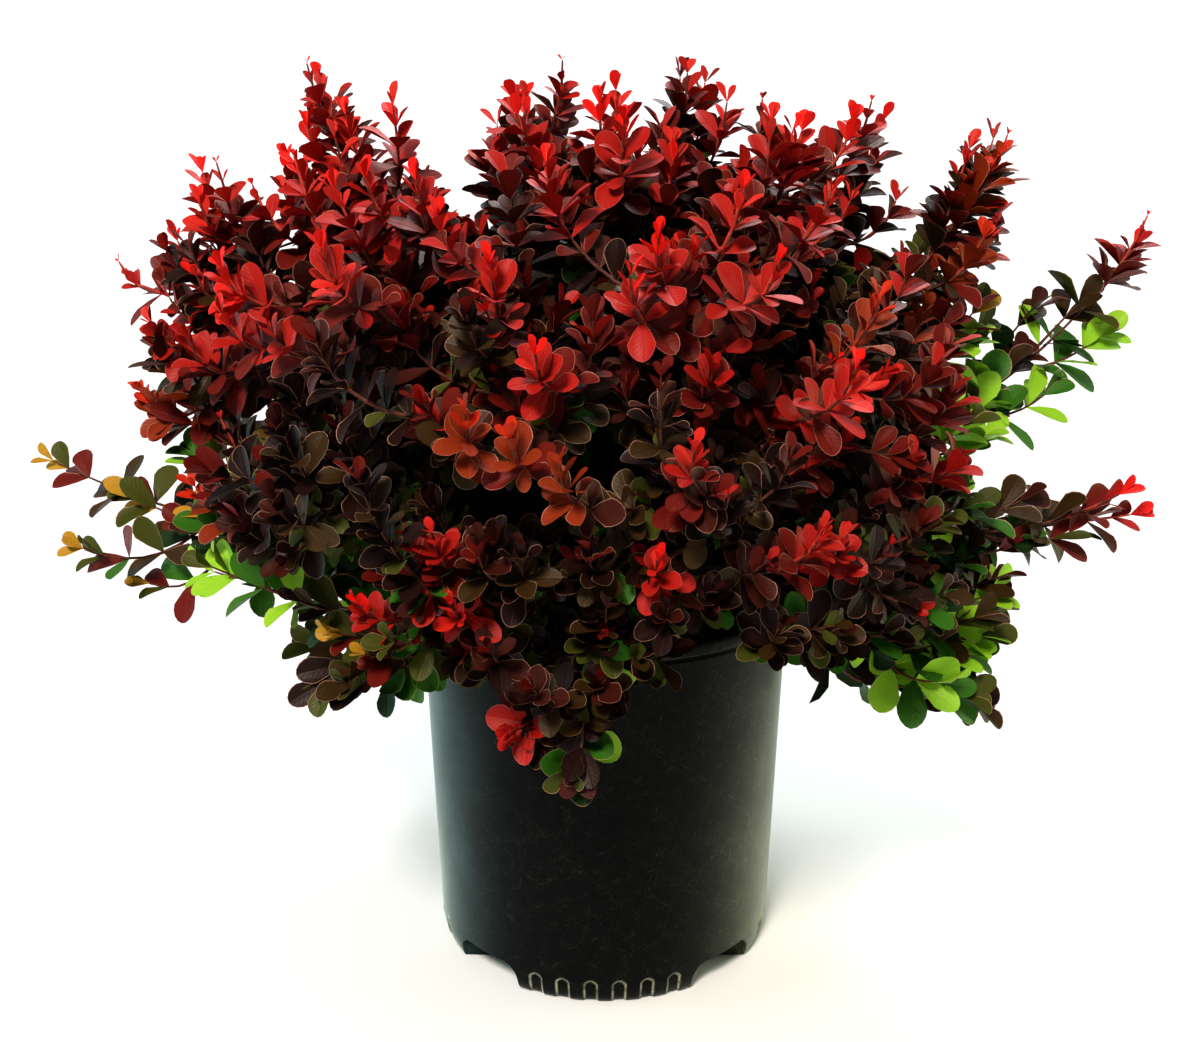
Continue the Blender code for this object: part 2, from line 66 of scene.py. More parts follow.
def mixed(one, other, share):
    """A colour part of the way from one linear colour to another."""
    return [a + (b - a) * share for a, b in zip(one, other)]


def add(tree, kind, links=None, values=None, **settings):
    """Add a node, set its properties and unlinked inputs, and link its other inputs."""
    node = tree.nodes.new(kind)
    for name, value in settings.items():
        setattr(node, name, value)
    for name, value in (values or {}).items():
        node.inputs[name].default_value = value
    for name, source in (links or {}).items():
        tree.links.new(source, node.inputs[name])
    return node


def new_material(name):
    """An empty node material, its tree, and its output node."""
    made = bpy.data.materials.new(name)
    made.use_nodes = True
    made.node_tree.nodes.clear()
    output = made.node_tree.nodes.new("ShaderNodeOutputMaterial")
    return made, made.node_tree, output


# %% [markdown]
# The camera
# The photograph was taken from close by, about 0.7 m, a little above the middle of the crown and
# looking slightly down. The near leaves are therefore larger than the far ones, and the pot's rim
# is seen from a flatter angle than its foot. A 35 mm lens at the true distance gives the same.

# %% Camera at the photograph's place
CAMERA_PLACE = (-2.8 * MM, -703.8 * MM, 428.1 * MM)
CAMERA_PITCH = 13.11
camera_data = bpy.data.cameras.new("camera")
camera_data.lens = 35
camera_data.sensor_width = 36
camera = bpy.data.objects.new("camera", camera_data)
camera.location = CAMERA_PLACE
camera.rotation_euler = (math.radians(90 - CAMERA_PITCH), 0, 0)
bpy.context.scene.collection.objects.link(camera)
bpy.context.scene.camera = camera

# %% [markdown]
# Light and floor
# The photograph is a cut-out on white: bright surroundings behind and beside the plant, and a
# darker room in front of it. The sky of the scene does the same. It is white at the back and the
# sides, which draws pale edges on the black pot, and dim in front, which keeps the pot's middle
# and the inside of the mound dark. The camera itself sees plain white. A big soft key from above
# on the left models the leaves. The colours are shown with the plain standard curve, because the
# softer default one would turn the scarlet tips pink.


# %% Studio
def area_light(name, place, target, size, power, colour):
    """A square soft light that looks at a target."""
    data = bpy.data.lights.new(name, "AREA")
    data.size = size
    data.energy = power
    data.color = linear(colour)[:3]
    lamp = bpy.data.objects.new(name, data)
    lamp.location = place
    lamp.rotation_euler = (Vector(target) - Vector(place)).to_track_quat("-Z", "Y").to_euler()
    bpy.context.scene.collection.objects.link(lamp)
    return lamp


bpy.context.scene.view_settings.view_transform = "Standard"
bpy.context.scene.view_settings.look = "Medium High Contrast"
area_light("key", (-0.45, -1.5, 1.75), (0, 0, 0.33), 0.5, 50, "#FFF2E4")
area_light("top_back", (0.4, 0.9, 1.8), (0, 0, 0.35), 0.8, 20, "#FFFFFF")
area_light("left_cool", (-1.5, 0.10, 0.40), (0, 0, 0.12), 0.9, 9, "#B4E6EC")
area_light("right_warm", (1.5, 0.20, 0.40), (0, 0, 0.12), 0.9, 10, "#E8EDBE")


def studio_sky(front, back):
    """A sky whose strength runs from front to back, and that the camera sees as white."""
    sky = bpy.data.worlds.new("studio")
    sky.use_nodes = True
    tree = sky.node_tree
    tree.nodes.clear()
    place = add(tree, "ShaderNodeTexCoord")
    parts = add(tree, "ShaderNodeSeparateXYZ", {"Vector": place.outputs["Generated"]})
    run = add(tree, "ShaderNodeMapRange", {"Value": parts.outputs["Y"]},
              {"From Min": -0.8, "From Max": 0.6, "To Min": front, "To Max": back})
    ray = add(tree, "ShaderNodeLightPath")
    lit = add(tree, "ShaderNodeBackground", {"Strength": run.outputs["Result"]},
              {"Color": linear("#FAFAF7")})
    seen = add(tree, "ShaderNodeBackground", values={"Color": linear("#FFFFFF")})
    both = add(tree, "ShaderNodeMixShader", {0: ray.outputs["Is Camera Ray"],
                                             1: lit.outputs[0], 2: seen.outputs[0]})
    output = add(tree, "ShaderNodeOutputWorld", {"Surface": both.outputs[0]})
    return sky


bpy.context.scene.world = studio_sky(front=0.12, back=0.7)

floor_mesh = bpy.data.meshes.new("floor")
FLOOR_HALF = 6.0
floor_mesh.from_pydata([(-FLOOR_HALF, -FLOOR_HALF, 0), (FLOOR_HALF, -FLOOR_HALF, 0),
                        (FLOOR_HALF, FLOOR_HALF, 0), (-FLOOR_HALF, FLOOR_HALF, 0)],
                       [], [(0, 1, 2, 3)])
floor = bpy.data.objects.new("floor", floor_mesh)
bpy.context.scene.collection.objects.link(floor)
floor_finish, tree, output = new_material("matt_white_board")
place = add(tree, "ShaderNodeTexCoord")
away = add(tree, "ShaderNodeVectorMath", {0: place.outputs["Object"]}, operation="LENGTH")
fade = add(tree, "ShaderNodeMapRange", {"Value": away.outputs["Value"]},
           {"From Min": 0.22, "From Max": 0.75}, interpolation_type="SMOOTHSTEP")
ray = add(tree, "ShaderNodeLightPath")
share = add(tree, "ShaderNodeMath", {0: fade.outputs[0], 1: ray.outputs["Is Camera Ray"]},
            operation="MULTIPLY")
board = add(tree, "ShaderNodeBsdfPrincipled",
            values={"Base Color": linear("#EEF1F4"), "Roughness": 0.9})
glow = add(tree, "ShaderNodeEmission", values={"Color": linear("#FFFFFF"), "Strength": 1.0})
both = add(tree, "ShaderNodeMixShader", {0: share.outputs[0], 1: board.outputs[0],
                                         2: glow.outputs[0]})
tree.links.new(both.outputs[0], output.inputs["Surface"])
floor_mesh.materials.append(floor_finish)

# %% [markdown]
# How the shrub grows
# Every mass of leaves owns the directions, seen from the middle of the woody crown (its heart),
# that lie nearest its own. A shoot is a direction and a reach. The main shoot of a mass carries on
# from its cane, side shoots leave it and turn up to the light, and finer shoots leave those. The
# golden angle spreads the tips evenly, the way seeds sit in a sunflower. The sizes are the ones
# the solids in the frame were grown with, so each twig here starts from the same limb.

# %% Sizes of the growth rule
HEART = Vector((0.0, 0.0, 235 * MM))
SOIL_TOP = 200 * MM
HEAD_RADIUS = 26 * MM
RIM_RADIUS = 114.5 * MM
POT_HEIGHT = 220 * MM
CLEAR = 0.3 * MM
CANE_RADIUS = 3.1 * MM
CANE_TIP_RADIUS = 2.3 * MM
CANE_SHARE = 0.42
TURN_POWER = 2.2
START_TRIES = 12
STEM_RADIUS = 2.1 * MM
TWIG_RADIUS = 1.5 * MM
TWIG_TIP_RADIUS = 0.5 * MM
SPACE_MARGIN = 0.5 * MM
SHOOTS = 96
LOWEST_RISE = -24.0
SKIRT = 13.0
GOLDEN_ANGLE = math.radians(137.508)
TIP_PULL = 0.12
REACH_SHARPNESS = 26
SHORTEST_SHOOT = 0.84
TIP_LIFT = 0.55

# The masses: turn from the front towards the right and rise of the tip (degrees), reach of the
# longest shoot and of the others (mm), how much higher the cane sets out, the leaves' tints, the
# share of its shoots that show new growth, and the same two for its longest shoot
MASSES = (
    ("upper_left_spire", -100, 60, 350, 288, -8, "red", 0.9, 0.95, "red"),
    ("top_centre_left", -136, 76, 301, 276, 0, "red", 0.55, 0.95, "red"),
    ("top_centre", 10, 83, 290, 280, 0, "red", 0.5, 0.9, "red"),
    ("top_centre_right", 142, 71, 325, 280, -4, "red", 0.45, 0.7, "red"),
    ("top_right", 66, 66, 291, 278, -4, "red", 0.75, 0.95, "red"),
    ("upper_right", 120, 53, 358, 290, -8, "red", 0.75, 0.9, "red"),
    ("right_spire", 88, 48, 342, 285, -8, "wine", 0.5, 0.9, "rust"),
    ("right_long_shoot", 98, 31, 398, 262, -16, "lime", 0.1, 0.95, "turning"),
    ("right_mid_shoot", 82, 8, 322, 262, -2, "shade", 0.2, 0.95, "turning"),
    ("right_low", 73, -17, 244, 226, 28, "shade", 0.0, 0.1, "shade"),
    ("left_shoulder", -84, 42, 312, 298, -8, "red", 0.6, 0.95, "red"),
    ("left_low_shoot", -93, 11, 363, 275, -8, "amber", 0.2, 0.55, "amber"),
    ("lower_left_drop", -56, -13, 198, 190, 26, "shade", 0.1, 0.2, "shade"),
    ("front_left_upper", -52, 53, 290, 278, -6, "red", 0.5, 0.95, "red"),
    ("front_left", -52, 20, 268, 258, 0, "wine", 0.1, 0.3, "wine"),
    ("front_low_left", -22, 9, 232, 226, 8, "wine", 0.1, 0.2, "wine"),
    ("front_drape", -4, -19, 197, 186, 30, "wine", 0.1, 0.1, "wine"),
    ("front_centre_left", -16, 41, 272, 262, 0, "red", 0.12, 0.6, "red"),
    ("front_centre_right", 15, 50, 264, 260, 0, "red", 0.2, 0.9, "red"),
    ("front_mid_right", 11, 22, 262, 250, 0, "wine", 0.1, 0.3, "wine"),
    ("front_right", 40, 34, 255, 250, 0, "red", 0.15, 0.8, "red"),
    ("front_right_low", 40, 6, 238, 228, 8, "wine", 0.2, 0.3, "wine"),
    ("back_upper", -172, 50, 300, 280, -6, "red", 0.7, 0.9, "red"),
    ("back_left_upper", -132, 42, 305, 285, -6, "red", 0.6, 0.9, "red"),
    ("back_right_upper", 152, 38, 298, 280, -6, "red", 0.6, 0.9, "red"),
    ("back_left_low", -134, 10, 290, 262, 6, "wine", 0.3, 0.6, "wine"),
    ("back_low", -176, 12, 280, 258, 6, "wine", 0.3, 0.6, "wine"),
    ("back_right_low", 134, 12, 292, 262, 6, "shade", 0.2, 0.5, "shade"),
)

# Where no fine shoot grows (turn, rise, room in degrees): hollows of the mound, the stretch of
# rim that shows on the right, and the gaps between the side shoots
BARE = ((3, 29, 9), (-7, 53, 8), (20, -15, 14), (-64, -8, 9), (-54, 67, 6), (-90, 70, 6),
        (-122, 66, 6), (-61, 3, 8), (-77, -2, 9), (-92, -6, 9), (74, 19, 6), (90, 16, 7),
        (102, 13, 8), (51, -15, 7), (77, -23, 8), (-27, -20, 8), (-38, -15, 8), (-50, -13, 6),
        (-37, -7, 6), (65, -19, 8), (46, -6, 8), (32, 1, 6), (83, -18, 9), (55, -6, 6),
        (5, -21, 6), (34, -6, 6), (-40, 11, 7), (-55, 8, 7), (-67, 9, 6),
        (-105, 1, 7), (-97, 2, 7), (-112, -1, 6), (-57, -15, 6), (-51, -6, 6))

# The shoots that stand out: turn, rise, reach, how new its growth is (0 to 1), and its tints
LEADERS = (
    (-76, 66, 306, 0.95, "red"), (-61, 40, 298, 1.00, "red"), (-75, 38, 301, 0.90, "red"),
    (-77, 31, 308, 0.90, "red"), (-36, 42, 300, 1.00, "red"), (-48, 55, 288, 0.95, "red"),
    (-39, 57, 280, 1.00, "red"), (-29, 52, 275, 0.90, "red"), (-46, 76, 290, 0.95, "red"),
    (-3, 78, 284, 1.00, "red"), (6, 71, 282, 0.95, "red"), (105, 75, 298, 0.90, "red"),
    (57, 68, 290, 0.95, "red"), (70, 67, 289, 1.00, "red"), (-14, 63, 273, 0.95, "red"),
    (98, 61, 315, 0.95, "red"), (46, 55, 280, 1.00, "red"), (22, 53, 285, 1.00, "red"),
    (7, 47, 282, 1.00, "red"), (3, 43, 278, 1.00, "red"), (-15, 44, 280, 1.00, "red"),
    (23, 44, 280, 1.00, "red"), (95, 48, 356, 0.80, "wine"), (80, 43, 303, 0.70, "rust"),
    (47, 43, 260, 0.90, "rust"), (66, 41, 256, 0.40, "rust"), (30, 33, 272, 1.00, "red"),
    (-8, 35, 273, 0.90, "red"), (-15, 29, 272, 0.70, "rust"), (-10, 27, 268, 0.65, "rust"),
    (-5, 25, 262, 0.60, "rust"), (6, 33, 270, 0.50, "wine"), (9, 26, 268, 0.90, "red"),
    (13, 22, 258, 0.55, "wine"), (30, 17, 240, 0.75, "red"), (26, 18, 243, 0.70, "red"),
    (35, 15, 245, 0.50, "wine"), (6, 16, 232, 0.95, "red"), (-17, 39, 275, 0.30, "wine"),
    (-26, 22, 270, 0.20, "wine"), (-34, 34, 285, 0.35, "wine"), (-42, 35, 290, 0.55, "red"),
    (-19, 10, 228, 1.00, "red"), (-37, 7, 212, 0.95, "red"), (-24, 17, 240, 0.95, "red"),
    (-20, 18, 245, 0.80, "red"), (-15, 17, 240, 0.35, "wine"), (-2, 17, 235, 0.15, "wine"),
    (-10, 16, 235, 0.15, "wine"), (-15, -11, 196, 0.75, "red"), (-10, -2, 205, 0.35, "wine"),
    (-15, 4, 215, 0.30, "wine"), (0, 10, 215, 0.10, "wine"), (8, 10, 215, 0.10, "wine"),
    (-1, -1, 200, 0.15, "wine"), (4, 3, 205, 0.10, "shade"), (-6, -18, 195, 0.00, "shade"),
    (-43, -7, 205, 0.05, "shade"), (-34, 1, 198, 0.10, "amber"), (-38, -1, 205, 0.40, "amber"),
    (-82, 22, 296, 0.80, "rust"), (-79, 5, 316, 0.40, "amber"), (-54, 15, 245, 0.25, "wine"),
    (-63, 7, 247, 0.10, "lime"), (-69, 16, 258, 0.70, "rust"), (-58, 18, 236, 0.20, "shade"),
    (97, 22, 271, 0.00, "lime"), (85, 23, 242, 0.00, "lime"), (79, 11, 313, 1.00, "turning"),
    (57, 15, 226, 0.30, "shade"), (56, 1, 214, 0.10, "shade"), (67, -13, 233, 0.00, "shade"),
    (38, -1, 190, 0.10, "wine"), (30, 6, 225, 0.40, "shade"), (-104, 54, 318, 0.90, "red"),
    (-88, 27, 300, 0.25, "wine"), (-84, 34, 262, 0.30, "wine"), (-80, 18, 262, 0.20, "lime"),
    (88, 47, 330, 0.80, "rust"), (-77, 29, 298, 0.30, "wine"), (-69, 32, 289, 0.70, "red"),
    (-59, 36, 286, 0.80, "red"), (-81, 34, 309, 0.50, "red"), (-98, 52, 322, 0.90, "red"),
    (-88, 57, 322, 0.90, "red"), (-48, -1, 195, 0.30, "amber"), (63, -11, 222, 0.00, "lime"),
    (47, 0, 205, 0.10, "shade"), (75, 0, 241, 0.00, "lime"), (-11, -14, 173, 0.20, "wine"), (-1, -10, 173, 0.10, "wine"),
    (141, 76, 316, 0.75, "wine"), (133, 77, 316, 0.85, "wine"), (-78, 44, 324, 0.95, "red"),
    (-76, 40, 314, 0.40, "wine"), (-73, 45, 290, 0.35, "wine"), (-80, 38, 322, 0.50, "wine"),
    (-90, 61, 317, 0.90, "red"), (-83, 59, 307, 0.90, "red"), (-70, 78, 280, 0.60, "wine"),
    (89, 50, 336, 0.90, "red"), (90, 42, 315, 0.90, "red"), (87, 36, 277, 0.25, "amber"),
    (84, 40, 271, 0.70, "rust"), (90, 33, 276, 0.15, "lime"), (85, 34, 259, 0.10, "lime"),
    (98, 30, 323, 0.15, "turning"), (98, 28, 352, 0.15, "turning"), (97, 24, 353, 0.00, "lime"), (96, 26, 298, 0.05, "turning"),
    (94, 21, 304, 0.00, "lime"), (84, 28, 231, 0.00, "lime"), (92, 19, 258, 0.00, "lime"),
    (90, 19, 239, 0.00, "lime"), (-92, 8, 306, 0.30, "amber"), (-86, 7, 263, 0.15, "turning"),
    (-75, 13, 240, 0.30, "wine"), (-69, 11, 223, 0.10, "shade"), (-82, 0, 284, 0.50, "amber"),
    (-76, 3, 243, 0.00, "lime"), (79, 12, 260, 0.20, "turning"), (79, 6, 255, 0.10, "amber"),
    (80, 7, 286, 0.20, "amber"), (74, 13, 226, 0.00, "shade"), (57, 4, 221, 0.00, "shade"),
    (69, -2, 227, 0.00, "lime"), (70, -5, 237, 0.00, "lime"), (70, -8, 231, 0.00, "lime"),
    (52, -2, 207, 0.00, "shade"), (43, 3, 204, 0.10, "wine"), (75, 2, 240, 0.30, "turning"),
    (-82, 23, 300, 0.85, "rust"), (-85, 46, 338, 0.90, "red"),
    (-85, 39, 325, 0.90, "red"), (-81, 51, 299, 0.90, "red"), (-80, 54, 305, 0.90, "red"),
    (109, 54, 313, 0.80, "wine"), (108, 49, 306, 0.70, "wine"), (103, 40, 342, 0.80, "wine"),
)

# Those of them that have just run on, and carry tiny leaves on a thin tip
SLENDER_LEADERS = (
    (-93, 60, 347, 0.95, "red"), (-70, 54, 302, 0.95, "red"), (-77, 48, 325, 0.95, "red"),
    (-72, 49, 304, 0.90, "red"), (-84, 34, 337, 0.95, "red"), (-111, 85, 304, 1.00, "red"),
    (100, 60, 326, 0.90, "red"), (90, 48, 350, 0.80, "rust"), (98, 32, 407, 0.90, "red"),
    (90, 72, 295, 0.70, "wine"),
)


# %% Directions and masses
def direction(turn, rise):
    """Unit vector; turn is measured from the front towards the right, both in degrees."""
    around, up = math.radians(turn), math.radians(rise)
    return Vector((math.sin(around) * math.cos(up), -math.cos(around) * math.cos(up),
                   math.sin(up)))


def rise_of(way):
    """Rise of a unit vector above level, in degrees."""
    return math.degrees(math.asin(max(-1.0, min(1.0, way.z))))


class Mass:
    """One mass: where it points, how far it reaches, and the space it keeps to."""

    def __init__(self, index, row):
        self.name, turn, rise, reach, body, sag = row[:6]
        self.tints, self.lively, self.top_vigour, self.top_tints = row[6:]
        self.index = index
        self.tip = direction(turn, rise)
        self.start = direction(turn, rise + sag)
        self.site = direction(turn, rise + 0.5 * sag)
        self.rise = rise
        self.reach = reach * MM
        self.body = body * MM
        self.cane_end = CANE_SHARE * self.body
        self.walls = []

    def way(self, radius):
        """Direction of the main shoot at a distance from the heart."""
        share = (radius - HEAD_RADIUS) / (self.reach - HEAD_RADIUS)
        share = max(0.0, min(1.0, share)) ** TURN_POWER
        return self.start.slerp(self.tip, share)

    def point(self, radius):
        """Place of the main shoot at a distance from the heart."""
        return HEART + self.way(radius) * radius

    def holds(self, place, margin):
        """True where the place lies in this mass's space by the margin."""
        offset = place - HEART
        return all(offset.dot(wall) >= margin for wall in self.walls)


masses = [Mass(index, row) for index, row in enumerate(MASSES)]
for mass in masses:
    for other in masses:
        if other is not mass:
            mass.walls.append((mass.site - other.site).normalized())
    for _ in range(START_TRIES):
        if mass.holds(HEART + mass.start * HEAD_RADIUS, CANE_RADIUS + SPACE_MARGIN):
            break
        mass.start = mass.start.slerp(mass.site, 0.25)
print("masses:", len(masses))


# %% Reach, shoot tips and curves
def local_reach(way):
    """How far the crown's body reaches along a direction, blended from the masses' own."""
    total = weight = 0.0
    for mass in masses:
        share = max(0.0, way.dot(mass.tip)) ** REACH_SHARPNESS
        total += share * mass.body
        weight += share
    return total / weight


def is_bare(way):
    """True in a hollow of the mound, or where the pot's rim shows."""
    return any(math.degrees(way.angle(direction(turn, rise))) < room
               for turn, rise, room in BARE)


def shoot_tips(count, pull, offset=0.0, farthest=0.0):
    """Directions spread evenly by the golden angle, dealt to the mass that owns each.

    Each is pulled a little towards its mass. With a farthest reach, directions in which the
    crown reaches less far get fewer shoots, and the bare ones get none.
    """
    tips = [[] for _ in masses]
    lowest = math.sin(math.radians(LOWEST_RISE))
    for index in range(count):
        up = lowest + (1.0 - lowest) * (index + 0.5) / count
        around = index * GOLDEN_ANGLE + offset
        flat = math.sqrt(1.0 - up * up)
        way = Vector((flat * math.cos(around), flat * math.sin(around), up))
        owner = max(masses, key=lambda mass: way.dot(mass.site))
        if rise_of(way) < owner.rise - SKIRT:
            continue
        if farthest and (chance.random() > (local_reach(way) / farthest) ** 2 or is_bare(way)):
            continue
        tips[owner.index].append(way.slerp(owner.site, pull))
    return tips


def bend(first, control, last, share):
    """Point on a curve that leaves first towards control and comes to last from it."""
    rest = 1.0 - share
    return first * (rest * rest) + control * (2 * rest * share) + last * (share * share)


HANGING_RISE, UPRIGHT_RISE = -20.0, 18.0
HANGING_LIFT, UPRIGHT_LIFT = 0.1, 2.0


def lift_of(way):
    """How much a fine shoot turns up: hardly where it hangs, strongly in the upper crown."""
    share = (rise_of(way) - HANGING_RISE) / (UPRIGHT_RISE - HANGING_RISE)
    return HANGING_LIFT + (UPRIGHT_LIFT - HANGING_LIFT) * max(0.0, min(1.0, share))


def turned_up(root, way, reach, steps, lift):
    """A shoot from its root to a tip in a direction, turning up towards the light."""
    tip = HEART + way * reach
    length = (tip - root).length
    upward = (way + Vector((0.0, 0.0, lift))).normalized()
    control = tip - upward * (0.5 * length)
    return [bend(root, control, tip, step / steps) for step in range(steps + 1)]


POT_CLEAR = 2.5 * MM


def clear_of_pot(points):
    """True where all points lie above the rim, outside it, or past its slanting corner."""
    if all(point.z > POT_HEIGHT + POT_CLEAR for point in points):
        return True
    middle = sum(points, Vector()) / len(points)
    out = Vector((middle.x, middle.y, 0.0)).normalized()
    for lift in (0.0, 0.6, 1.2):
        wall = (out + Vector((0.0, 0.0, lift))).normalized()
        limit = wall.dot(out * RIM_RADIUS + Vector((0.0, 0.0, POT_HEIGHT))) + POT_CLEAR
        if all(point.dot(wall) > limit for point in points):
            return True
    return False


# %% [markdown]
# Growing the shoots
# First come the main shoot and the side shoots that the solids have, then the shoots that stand
# out, then a finer set that fills the mound. A fine shoot looks for the nearest limb of its own
# mass that lies deeper in the mound and leaves it there, as a bud would. Fine shoots stand more
# upright than the limbs, and only a share of them shows new red growth.

# %% Shoots
SHOOT_STEPS = 7
FINE_SHOOTS = 1000
FARTHEST = 300 * MM
FINE_PULL = 0.02
FINE_SHORTEST, FINE_LONGEST = 0.70, 0.98
LEADER_ROOM = 7.0
TIP_STAND, SLENDER_STAND = 11 * MM, 4 * MM
SLENDER_SHARE = 0.3
OPEN_HABIT = ("amber", "turning", "gold", "lime", "shade")
OPEN_LIFT = 0.45
BUD_DEPTH = 46 * MM
NEW_GROWTH, OLD_GROWTH = (0.50, 0.95), (0.0, 0.35)

chance = random.Random(SEED)
coarse_tips = shoot_tips(SHOOTS, TIP_PULL)
fine_tips = shoot_tips(FINE_SHOOTS, FINE_PULL, offset=1.0, farthest=FARTHEST)
leader_tips = [[] for _ in masses]
for row in LEADERS + SLENDER_LEADERS:
    way = direction(row[0], row[1])
    owner = max(masses, key=lambda mass: way.dot(mass.site))
    leader_tips[owner.index].append((way, row[2] * MM, row[3], row[4], row in SLENDER_LEADERS))
shoots = []


def add_shoot(mass, path, thick, vigour, tints, slender):
    """Keep a shoot where it misses the pot; True where it was kept."""
    if not all(clear_of_pot(pair) for pair in zip(path, path[1:])):
        return False
    shoots.append({"mass": mass, "path": path, "thick": thick, "vigour": vigour,
                   "tints": tints, "slender": slender})
    return True


def from_nearest(mass, limbs, way, reach, lift):
    """A shoot to a tip from the nearest point of the limbs that lies deep enough."""
    tip = HEART + way * reach
    roots = [point for limb in limbs for point in limb
             if (point - HEART).length < reach - BUD_DEPTH]
    roots = roots or [mass.point(mass.cane_end)]
    root = min(roots, key=lambda point: (point - tip).length)
    return turned_up(root, way, reach, SHOOT_STEPS, lift)


for mass in masses:
    first = mass.cane_end + CLEAR
    steps = 2 * SHOOT_STEPS
    last = mass.reach - TIP_STAND
    main = [mass.point(first + (last - first) * step / steps) for step in range(steps + 1)]
    add_shoot(mass, main, STEM_RADIUS, mass.top_vigour, mass.top_tints, False)
    limbs = [main]
    for way in coarse_tips[mass.index]:
        reach = local_reach(way) * chance.uniform(SHORTEST_SHOOT, 1.0)
        apart = math.degrees(mass.way(reach).angle(way))
        leave = max(reach * max(0.50, 0.74 - 0.012 * apart), mass.cane_end + 6 * MM)
        path = turned_up(mass.point(leave), way, reach - TIP_STAND, SHOOT_STEPS, TIP_LIFT)
        vigour = chance.uniform(*(NEW_GROWTH if chance.random() < mass.lively else OLD_GROWTH))
        if add_shoot(mass, path, TWIG_RADIUS, vigour, mass.tints, False):
            limbs.append(path)
    for way, reach, vigour, tints, slender in leader_tips[mass.index]:
        reach -= SLENDER_STAND if slender else TIP_STAND
        lift = OPEN_LIFT if tints in OPEN_HABIT else lift_of(way)
        add_shoot(mass, from_nearest(mass, limbs, way, reach, lift), 0.9 * TWIG_RADIUS, vigour,
                  tints, slender)
    for way in fine_tips[mass.index]:
        reach = local_reach(way) * chance.uniform(FINE_SHORTEST, FINE_LONGEST)
        vigour = chance.uniform(*(NEW_GROWTH if chance.random() < mass.lively else OLD_GROWTH))
        if any(math.degrees(way.angle(leader[0])) < LEADER_ROOM
               for leader in leader_tips[mass.index]):
            reach *= 0.9
            vigour *= 0.3
        slender = chance.random() < SLENDER_SHARE * vigour
        add_shoot(mass, from_nearest(mass, limbs, way, reach, lift_of(way)),
                  0.75 * TWIG_RADIUS, vigour, mass.tints, slender)
print("shoots:", len(shoots))

# %% Spurs, the short old shoots that keep the inside of the mound dark and leafy
SPUR_STEP = 11 * MM
SPUR_LENGTH = (34 * MM, 58 * MM)
SPUR_STEPS = 4
SPURS_FROM, SPURS_TO = 0.50, 0.74
SPUR_LEAN = 0.6
SPUR_LIFT = 9 * MM
GAP_RISE = 12.0

for mass in masses:
    radius, turn = SPURS_FROM * mass.cane_end, chance.uniform(0, 2 * math.pi)
    while radius < SPURS_TO * mass.body:
        root = mass.point(radius)
        along = (mass.point(radius + 1 * MM) - root).normalized()
        side = Matrix.Rotation(turn, 3, along) @ along.orthogonal().normalized()
        reach = (along * SPUR_LEAN + side).normalized() * chance.uniform(*SPUR_LENGTH)
        path = []
        for step in range(SPUR_STEPS + 1):
            share = step / SPUR_STEPS
            path.append(root + reach * share + Vector((0, 0, SPUR_LIFT * share * share)))
        way = (path[-1] - HEART).normalized()
        if rise_of(way) > GAP_RISE or not is_bare(way):
            add_shoot(mass, path, 0.6 * TWIG_RADIUS, 0.0, mass.tints, False)
        turn += GOLDEN_ANGLE
        radius += SPUR_STEP
print("shoots with spurs:", len(shoots))

# %% [markdown]
# Tints
# The tint of a leaf comes from its age, which is its distance from the shoot's tip, from how new
# the growth of its shoot is, and from how deep in the mound it sits. Each row below runs from the
# newest leaves to the oldest, and the chances are loose, so neighbours differ a little.

# %% Tints, youngest first in each row
# The lime tint is a yellow-green leaf colour made bright to stand in for light shining through
# backlit
# leaves: partly leaf colour, partly painted glow
TINTS = {
    "scarlet": "#D01E17", "coral": "#B8281F", "crimson": "#981D17", "maroon": "#601812",
    "burgundy": "#3C1811", "aubergine": "#22100C", "bronze": "#36260F", "olive": "#414616",
    "deep_green": "#1C3216", "green": "#36661C", "lime": "#8ABA30", "vermilion": "#B42E15",
    "rust": "#7E2F14", "amber": "#A67F26", "gold": "#BAB438",
}
TINT_ROWS = {
    "red": ("scarlet", "coral", "crimson", "crimson", "maroon", "maroon", "burgundy",
            "aubergine", "bronze", "olive", "deep_green", "green"),
    "wine": ("coral", "crimson", "maroon", "burgundy", "aubergine", "bronze", "aubergine",
             "olive", "aubergine", "green", "olive", "deep_green"),
    "rust": ("vermilion", "vermilion", "rust", "rust", "maroon", "burgundy", "bronze", "bronze",
             "olive", "olive", "green", "deep_green"),
    "turning": ("scarlet", "crimson", "maroon", "burgundy", "bronze", "olive", "deep_green",
                "green", "lime", "green", "deep_green", "green"),
    "amber": ("rust", "amber", "amber", "olive", "maroon", "green", "bronze", "green", "olive",
              "deep_green", "green", "deep_green"),
    "gold": ("rust", "amber", "gold", "gold", "lime", "gold", "lime", "lime", "green", "lime",
             "green", "green"),
    "lime": ("rust", "bronze", "olive", "green", "lime", "lime", "green", "lime", "lime",
             "green", "lime", "deep_green"),
    "shade": ("maroon", "aubergine", "bronze", "olive", "aubergine", "green", "deep_green",
              "green", "lime", "green", "green", "deep_green"),
}
AGE_WEIGHT = 0.82
OLD_WEIGHT = 0.28
INNER_WEIGHT = 0.30
STAGE_SPREAD = 0.045


def tint_of(shoot, age, inner):
    """The tint's name for a leaf of this age (0 young, 1 old) this far inside the mound."""
    row = TINT_ROWS[shoot["tints"]]
    stage = 0.03 + AGE_WEIGHT * age + OLD_WEIGHT * (1.0 - shoot["vigour"]) + INNER_WEIGHT * inner
    stage += chance.gauss(0.0, STAGE_SPREAD)
    return row[max(0, min(len(row) - 1, int(stage * len(row))))]


